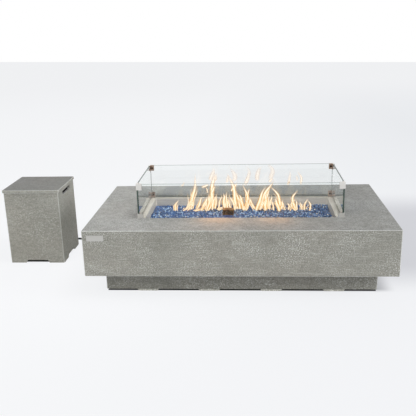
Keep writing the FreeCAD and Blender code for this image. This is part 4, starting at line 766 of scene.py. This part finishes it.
class FIREPIT_OT_guard(bpy.types.Operator):
    """Fits the four glass panes and finishes their clips, screws and feet"""
    bl_idname = "firepit.guard"
    bl_label = "Wind guard"

    def execute(self, context):
        sizes = context.scene.firepit_guard
        finishes = [float_glass(), glass_edge("float glass, ground edge", "#2a3d36", "#46584f"),
                    glass_edge("float glass, ground edge, above", "#566660", "#76867f"),
                    glass_edge("float glass, ground edge, pale", "#b2c1bb", "#cfdad5")]
        clear, deep, middling, pale = range(4)
        for side in ("front", "back", "left", "right"):
            node = "guard_glass_" + side
            pane = new_piece("pane_" + side, *pane_mesh(*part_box(node), sizes.arris), finishes, "wind_guard",
                             "clear_glass", smooth=False)
            lengthwise = side in ("front", "back")
            # Painted light and shade on the edges: the deep copy on the front pane's ends and wherever an
            # edge faces the front, the pale copy where it faces back, and on top and below the middling copy
            # for the long panes and the deep one for the short
            for face in pane.data.polygons:
                if abs(face.normal[1 if lengthwise else 0]) > 0.9:
                    face.material_index = clear
                elif abs(face.normal.z) < 0.5:
                    face.material_index = deep if side == "front" or face.normal.y < -0.5 else pale
                else:
                    face.material_index = middling if lengthwise else deep
            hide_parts(node)
        dress(clip_steel(), "guard_clips_top", "guard_clips_bottom")
        dress(plain_metal("steel screws, blackened", "#4a4038", 0.4, "#2c2622"), "guard_screws")
        dress(moulded("silicone pads, moulded", "#1a1a1a", "#2a2a2a", 0.6), "guard_feet")
        return {"FINISHED"}


# Controls and gas train

DIAL_ANGLES = (90, 190)          # degrees from off, the way the knob turns: high flame, low flame
DIAL_RADIUS = 0.028
DIAL_BANDS = (0.0055, 0.0015)    # width of the printed band at high and at low flame
DIAL_DOT = 0.0022
DIAL_STEPS, DOT_STEPS = 41, 24
POINTER_HALF = 0.0008            # half the width of the knob's white line
POINTER_SPAN = (0.3, 0.6)        # where the line starts and ends, in radii of the knob
POINTER_DEEP = 0.0003            # how far it lies in its groove
PAINT = 0.00015                  # how far print lies off its face
SPRING_TURNS = 3
SPRING_WIRE = 0.0003             # half the wire's thickness
SPRING_RINGS = 97
SPRING_ROUND = 8


def dial_marks(centre):
    """The dial printed round the knob: a dot at off, which is straight down, and a band that narrows from
    high to low flame. An angle t and a radius r give y = -r sin(t), z = -r cos(t) from the knob's axis."""
    t = np.radians(np.linspace(*DIAL_ANGLES, DIAL_STEPS))
    outer = DIAL_RADIUS + np.linspace(*DIAL_BANDS, DIAL_STEPS)
    turn = np.linspace(0, 2 * np.pi, DOT_STEPS, endpoint=False)
    middle = DIAL_RADIUS + DIAL_DOT
    y = np.concatenate([-DIAL_RADIUS * np.sin(t), -outer * np.sin(t), DIAL_DOT * np.cos(turn)])
    z = np.concatenate([-DIAL_RADIUS * np.cos(t), -outer * np.cos(t), -middle + DIAL_DOT * np.sin(turn)])
    points = np.stack([np.full(len(y), centre.x), centre.y + y, centre.z + z], -1)
    band = [(i + DIAL_STEPS, i + DIAL_STEPS + 1, i + 1, i) for i in range(DIAL_STEPS - 1)]
    return points, band + [range(2 * DIAL_STEPS, 2 * DIAL_STEPS + DOT_STEPS)[::-1]]


def pointer_paint():
    """The white line in the knob's pointer groove, which runs from the middle of the face towards off."""
    low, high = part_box("control_knob")
    middle = (low + high) / 2
    near, far = (share * (high.y - low.y) / 2 for share in POINTER_SPAN)
    edge = [(-POINTER_HALF, -far), (POINTER_HALF, -far), (POINTER_HALF, -near), (-POINTER_HALF, -near)]
    return [(low.x + POINTER_DEEP, middle.y + a, middle.z + b) for a, b in edge], [(3, 2, 1, 0)]


def wound_wire(low, high):
    """The button's return spring, a wire wound round X: at a share u of its length its middle lies at
    y = R cos(2 pi n u) and z = R sin(2 pi n u) from the axis, and each ring is square to the way it runs."""
    u = np.linspace(0, 1, SPRING_RINGS)[:, None, None]
    turn = 2 * np.pi * SPRING_TURNS * u
    none, length = np.zeros_like(turn), high.x - low.x - 2 * SPRING_WIRE
    radius = (high.y - low.y) / 2 - SPRING_WIRE
    out = np.concatenate([none, np.cos(turn), np.sin(turn)], -1)
    pitch = np.full_like(turn, length / (2 * np.pi * SPRING_TURNS))
    run = np.concatenate([pitch, -radius * np.sin(turn), radius * np.cos(turn)], -1)
    run = run / np.linalg.norm(run, axis=-1, keepdims=True)
    start = np.array([low.x + SPRING_WIRE, (low.y + high.y) / 2, (low.z + high.z) / 2])
    middle = start + radius * out + np.concatenate([length * u, none, none], -1)
    around = np.linspace(0, 2 * np.pi, SPRING_ROUND, endpoint=False)[None, :, None]
    rings = middle + SPRING_WIRE * (out * np.cos(around) + np.cross(run, out) * np.sin(around))
    points = np.concatenate([rings.reshape(-1, 3), middle[[0, -1], 0]])
    return points, closed_grid(SPRING_RINGS, SPRING_ROUND)


class FIREPIT_OT_controls(bpy.types.Operator):
    """Finishes the bare plate on the front, the control plate, the knob, the igniter and the valve"""
    bl_idname = "firepit.controls"
    bl_label = "Controls"

    def execute(self, context):
        dress(brushed_steel("stainless plate, brushed", "#c4c3bf", 0.42), "name_plate")
        dress(brushed_steel("stainless panel, brushed", "#c4c2bd", 0.3, (1.0, 40.0, 1.0)), "control_plate")
        centre = sum(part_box("control_knob"), Vector()) / 2
        centre.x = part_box("control_plate")[0].x - PAINT
        print_ink = moulded("enamel, screen printed", "#1c1c1c", "#2c2c2c", 0.5)
        new_piece("dial_print", *dial_marks(centre), [print_ink], "root", "stainless_steel", smooth=False)
        white = moulded("enamel, filled line", "#e8e8e4", "#d0d0cb", 0.45)
        new_piece("knob_pointer", *pointer_paint(), [white], "control_knob", "black_plastic", smooth=False)
        dress(moulded("phenolic knob, moulded", "#151515", "#262524", 0.35), "control_knob")
        dress(moulded("nylon, moulded", "#1b1b1c", "#2a2a2b", 0.5), "igniter_module", "igniter_nut",
              "stem_collar", "wire_clips", "regulator_cap")
        dress(plain_metal("chromed steel, polished", "#d9dadb", 0.08, "#b9bbbd"), "igniter_button",
              "valve_nut", "valve_stem")
        zinc = plain_metal("steel, zinc plated fixings", "#b6b9ba", 0.32, "#8e9294")
        dress(zinc, "plate_screws", "shell_brackets", "bracket_bolts", "inlet_bracket")
        low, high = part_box("igniter_spring")
        spring = new_piece("return_spring", *wound_wire(low, high), [zinc], "root", "galvanised_steel")
        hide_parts("igniter_spring")
        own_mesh(spring)
        dress(plain_metal("aluminium, die cast", "#a9abac", 0.42, "#888a8b"), "valve_body", "regulator")
        dress(plain_metal("copper tube, drawn", "#c07a52", 0.28, "#7d4a32"), "supply_tube", "inlet_tube",
              "thermocouple_lead")
        dress(plain_metal("brass fittings, machined", "#c9a35a", 0.24, "#94713a"), "flare_nuts",
              "inlet_union", "hose_ferrules", "hose_swivel_nut", "cylinder_valve")
        dress(moulded("silicone lead, extruded", "#20201f", "#31302f", 0.5), "ignition_wire")
        dress(moulded("battery sleeve, printed", "#2b2c2e", "#3a3b3d", 0.3), "igniter_battery")
        dress(moulded("nylon hand wheel, moulded", "#17181a", "#26272a", 0.45), "valve_handwheel",
              "regulator_nut")
        return {"FINISHED"}


class FIREPIT_OT_cylinder(bpy.types.Operator):
    """Finishes the gas cylinder"""
    bl_idname = "firepit.cylinder"
    bl_label = "Gas cylinder"

    def execute(self, context):
        dress(moulded("steel, powder coated", "#d9dad8", "#cccdca", 0.34, 0.0018), "cylinder_shell",
              "cylinder_foot_ring", "cylinder_collar")
        return {"FINISHED"}


# Stage

HORIZON = 0.351          # height of the floor's far edge over the picture's middle, in widths of the picture
FLOOR_NEAR = [(-50.0, -40.0), (50.0, -40.0)]     # its two corners behind the camera
FLOOR_PLAIN = 0.88       # how far the floor shows its own plain colour, which keeps its shadows soft
FLOOR_DROP = 0.0005      # how far it lies under the object, so that the two don't meet
# Lamps: where each stands, what it faces, the lengths of its sides, and its colour
LAMPS = {
    "key": ((-4.2, -6.0, 6.0), (0.2, 0.0, 0.3), (4.0, 3.0), "#fffdf8"),
    "fill": ((6.0, -1.5, 3.0), (-1.0, 0.2, 0.3), (3.0, 3.0), "#fbfcff"),
    "overhead": ((0.2, -0.2, 2.5), (-0.75, 0.15, 0.4), (1.0, 1.0), "#ffffff"),
}
OVERHEAD_SPREAD = math.radians(75)
# Warm light of the fire on the top in front of the guard: middle of each patch, in metres from the middle of
# the table, its width and its share of the light
GLOWS = [(-0.13, 0.22, 0.6), (0.20, 0.16, 0.4)]
GLOW_CLEAR = 0.008       # from the front pane to a glow's lamp
GLOW_RISE = 0.07         # from the top up to the lamp
GLOW_REACH = 0.12        # from the lamp forwards to what it faces
GLOW_TALL = 0.05


def ground(across, above):
    """Where a line of sight meets the floor. It is given as shares of the picture's width from its middle."""
    right, up, forward = camera_axes()
    sight = forward * (CAMERA_LENS / CAMERA_SENSOR) + right * across + up * above
    return CAMERA_PLACE - sight * (CAMERA_PLACE.z / sight.z)


def patch(tree, place, *limits):
    """A soft-edged patch of the floor. A limit is an axis, where the patch fades out and where it is full."""
    return joined(tree, "MULTIPLY", *(
        add(tree, "MapRange", {"Value": place[axis], "From Min": clear, "From Max": full},
            interpolation_type="SMOOTHSTEP") for axis, clear, full in limits))


def in_view(tree):
    """One for a ray that shows the background: from the camera itself, off a mirror or through glass."""
    rays = add(tree, "LightPath").outputs
    return joined(tree, "MAXIMUM", rays["Is Camera Ray"], rays["Is Glossy Ray"], rays["Is Transmission Ray"])


def floor_material(tone):
    """A pale floor that darkens a little to the back and the right, with a painted soft cast shadow to the
    right of the table and a painted contact shadow by the plinth's right end. The camera, mirrors and glass
    see mostly its own plain colour with soft shadows, and it is painted dark as shade inside the plinth, and
    inside the tank cover while that stands on it, where ambient occlusion finds it closed over."""
    material, tree = blank(bpy.data.materials, "studio floor, pale")
    place = places(tree)
    back = add(tree, "MapRange", {"Value": place["Y"], "From Min": -1.2, "From Max": 2.0})
    side = add(tree, "MapRange", {"Value": place["X"], "From Min": -0.6, "From Max": 2.6})
    left = over(tree, (*tone, 1.0), linear("#f8f9fb"), back)
    right = over(tree, linear("#f0f1f4"), linear("#edeff2"), back)
    shade = over(tree, left, right, side)
    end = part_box("base_plinth")[1].x
    far = patch(tree, place, ("Y", 4.5, 13.0))
    # Painted shadows: a soft cast shadow to the right of the table, then a contact shadow by the plinth's
    # right end
    cast = patch(tree, place, ("X", end - 0.2, end + 0.05), ("X", end + 2.0, end + 0.9),
                 ("Y", -0.45, 0.05), ("Y", 1.8, 1.05))
    foot = patch(tree, place, ("X", end + 0.12, end), ("X", end - 0.6, end - 0.3),
                 ("Y", -0.42, -0.36), ("Y", 0.6, 0.3))
    # Painted shade inside the tank cover, while ambient occlusion finds it closed over, and inside the plinth
    open_above = add(tree, "AmbientOcclusion", {"Distance": 0.45}, samples=8).outputs["AO"]
    closed = add(tree, "MapRange", {"Value": open_above, "From Min": 0.4, "From Max": 0.2})
    under_cover = joined(tree, "MULTIPLY", covered(tree, place, *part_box("tank_box"), 0.015, 0.021), closed)
    shut = joined(tree, "MAXIMUM", covered(tree, place, *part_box("base_plinth"), 0.004, 0.007), under_cover)
    # The far tone, then the painted shadows and the painted dark shade inside
    for mask, share, colour in ((far, 1.0, "#f5f6f8"), (cast, 1.0, "#d3d4d9"), (foot, 0.8, "#a6a7ab"),
                                (shut, 0.93, "#1c1c1e")):
        shade = over(tree, shade, linear(colour), mask, share)
    share = joined(tree, "MULTIPLY", joined(tree, "SUBTRACT", 1.0, shut), in_view(tree), FLOOR_PLAIN)
    lit, plain = (add(tree, kind, {"Color": shade}) for kind in ("BsdfDiffuse", "Emission"))
    return surface(material, "MixShader", {0: share, 1: lit, 2: plain})


def studio_world(ambient):
    """Even light from all round, and a white backdrop for what looks past the object."""
    world, tree = blank(bpy.data.worlds, "studio")
    strength = add(tree, "MapRange", {"Value": in_view(tree), "To Min": ambient})
    back = add(tree, "Background", {"Color": (1.0, 1.0, 1.0, 1.0), "Strength": strength})
    add(tree, "OutputWorld", {"Surface": back})
    return world


def lamp(name, power, place, target, sides, colour):
    """A soft rectangular lamp that faces a point."""
    data = bpy.data.lights.new(name, "AREA")
    data.shape = "RECTANGLE"
    data.size, data.size_y = sides
    data.energy = power
    data.color = linear(colour)[:3]
    light = placed(name, data)
    aim = (Vector(target) - Vector(place)).to_track_quat("-Z", "Y")
    light.matrix_world = Matrix.Translation(Vector(place)) @ aim.to_matrix().to_4x4()
    return light


class FIREPIT_OT_stage(bpy.types.Operator):
    """Lays the floor and sets the lamps"""
    bl_idname = "firepit.stage"
    bl_label = "Stage"

    def execute(self, context):
        sizes = context.scene.firepit_stage
        corners = [*FLOOR_NEAR, ground(0.9, HORIZON), ground(-0.9, HORIZON)]
        mesh = bpy.data.meshes.new("floor")
        mesh.from_pydata([(corner[0], corner[1], -FLOOR_DROP) for corner in corners], [], [(0, 1, 2, 3)])
        mesh.materials.append(floor_material(sizes.floor))
        floor = placed("floor", mesh)
        context.scene.world = studio_world(sizes.ambient)
        lamps = {name: lamp(name, getattr(sizes, name), *facts) for name, facts in LAMPS.items()}
        lamps["overhead"].data.spread = OVERHEAD_SPREAD
        unseen = [lamps["overhead"]]
        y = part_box("guard_glass_front")[0].y - GLOW_CLEAR
        for along, width, share in GLOWS:
            x = TABLE_X + along
            unseen.append(lamp("fire glow", sizes.glow * share, (x, y, TOP_Z + GLOW_RISE),
                               (x, y - GLOW_REACH, TOP_Z), (width, GLOW_TALL), "#ffb462"))
        for light in unseen:
            light.visible_camera = light.visible_glossy = light.visible_transmission = False
        context.scene.view_settings.view_transform = "Standard"
        return {"FINISHED"}


class FIREPIT_PT_panel(bpy.types.Panel):
    """Lists the finishing steps"""
    bl_idname = "FIREPIT_PT_panel"
    bl_label = "Fire pit"
    bl_space_type = "VIEW_3D"
    bl_region_type = "UI"
    bl_category = "Fire pit"

    def draw(self, context):
        for step in STEPS:
            self.layout.operator(step.bl_idname, text=step.bl_label)
        for name in GROUPS:
            group = getattr(context.scene, name)
            for key in group.bl_rna.properties.keys():
                if key not in ("rna_type", "name"):
                    self.layout.prop(group, key)


STEPS = [FIREPIT_OT_camera, FIREPIT_OT_hose, FIREPIT_OT_concrete, FIREPIT_OT_burner, FIREPIT_OT_media,
         FIREPIT_OT_flames, FIREPIT_OT_guard, FIREPIT_OT_controls, FIREPIT_OT_cylinder, FIREPIT_OT_stage]


def register():
    """Makes the groups, the steps and the panel known."""
    for cls in [*GROUPS.values(), *STEPS, FIREPIT_PT_panel]:
        bpy.utils.register_class(cls)
    for name, group in GROUPS.items():
        setattr(bpy.types.Scene, name, bpy.props.PointerProperty(type=group))


def unregister():
    """Takes them away again."""
    for name in GROUPS:
        delattr(bpy.types.Scene, name)
    for cls in reversed([*GROUPS.values(), *STEPS, FIREPIT_PT_panel]):
        bpy.utils.unregister_class(cls)


def main():
    """Registers the add-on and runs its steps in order."""
    register()
    for step in STEPS:
        group, name = step.bl_idname.split(".")
        getattr(getattr(bpy.ops, group), name)()


if __name__ == "__main__":
    main()
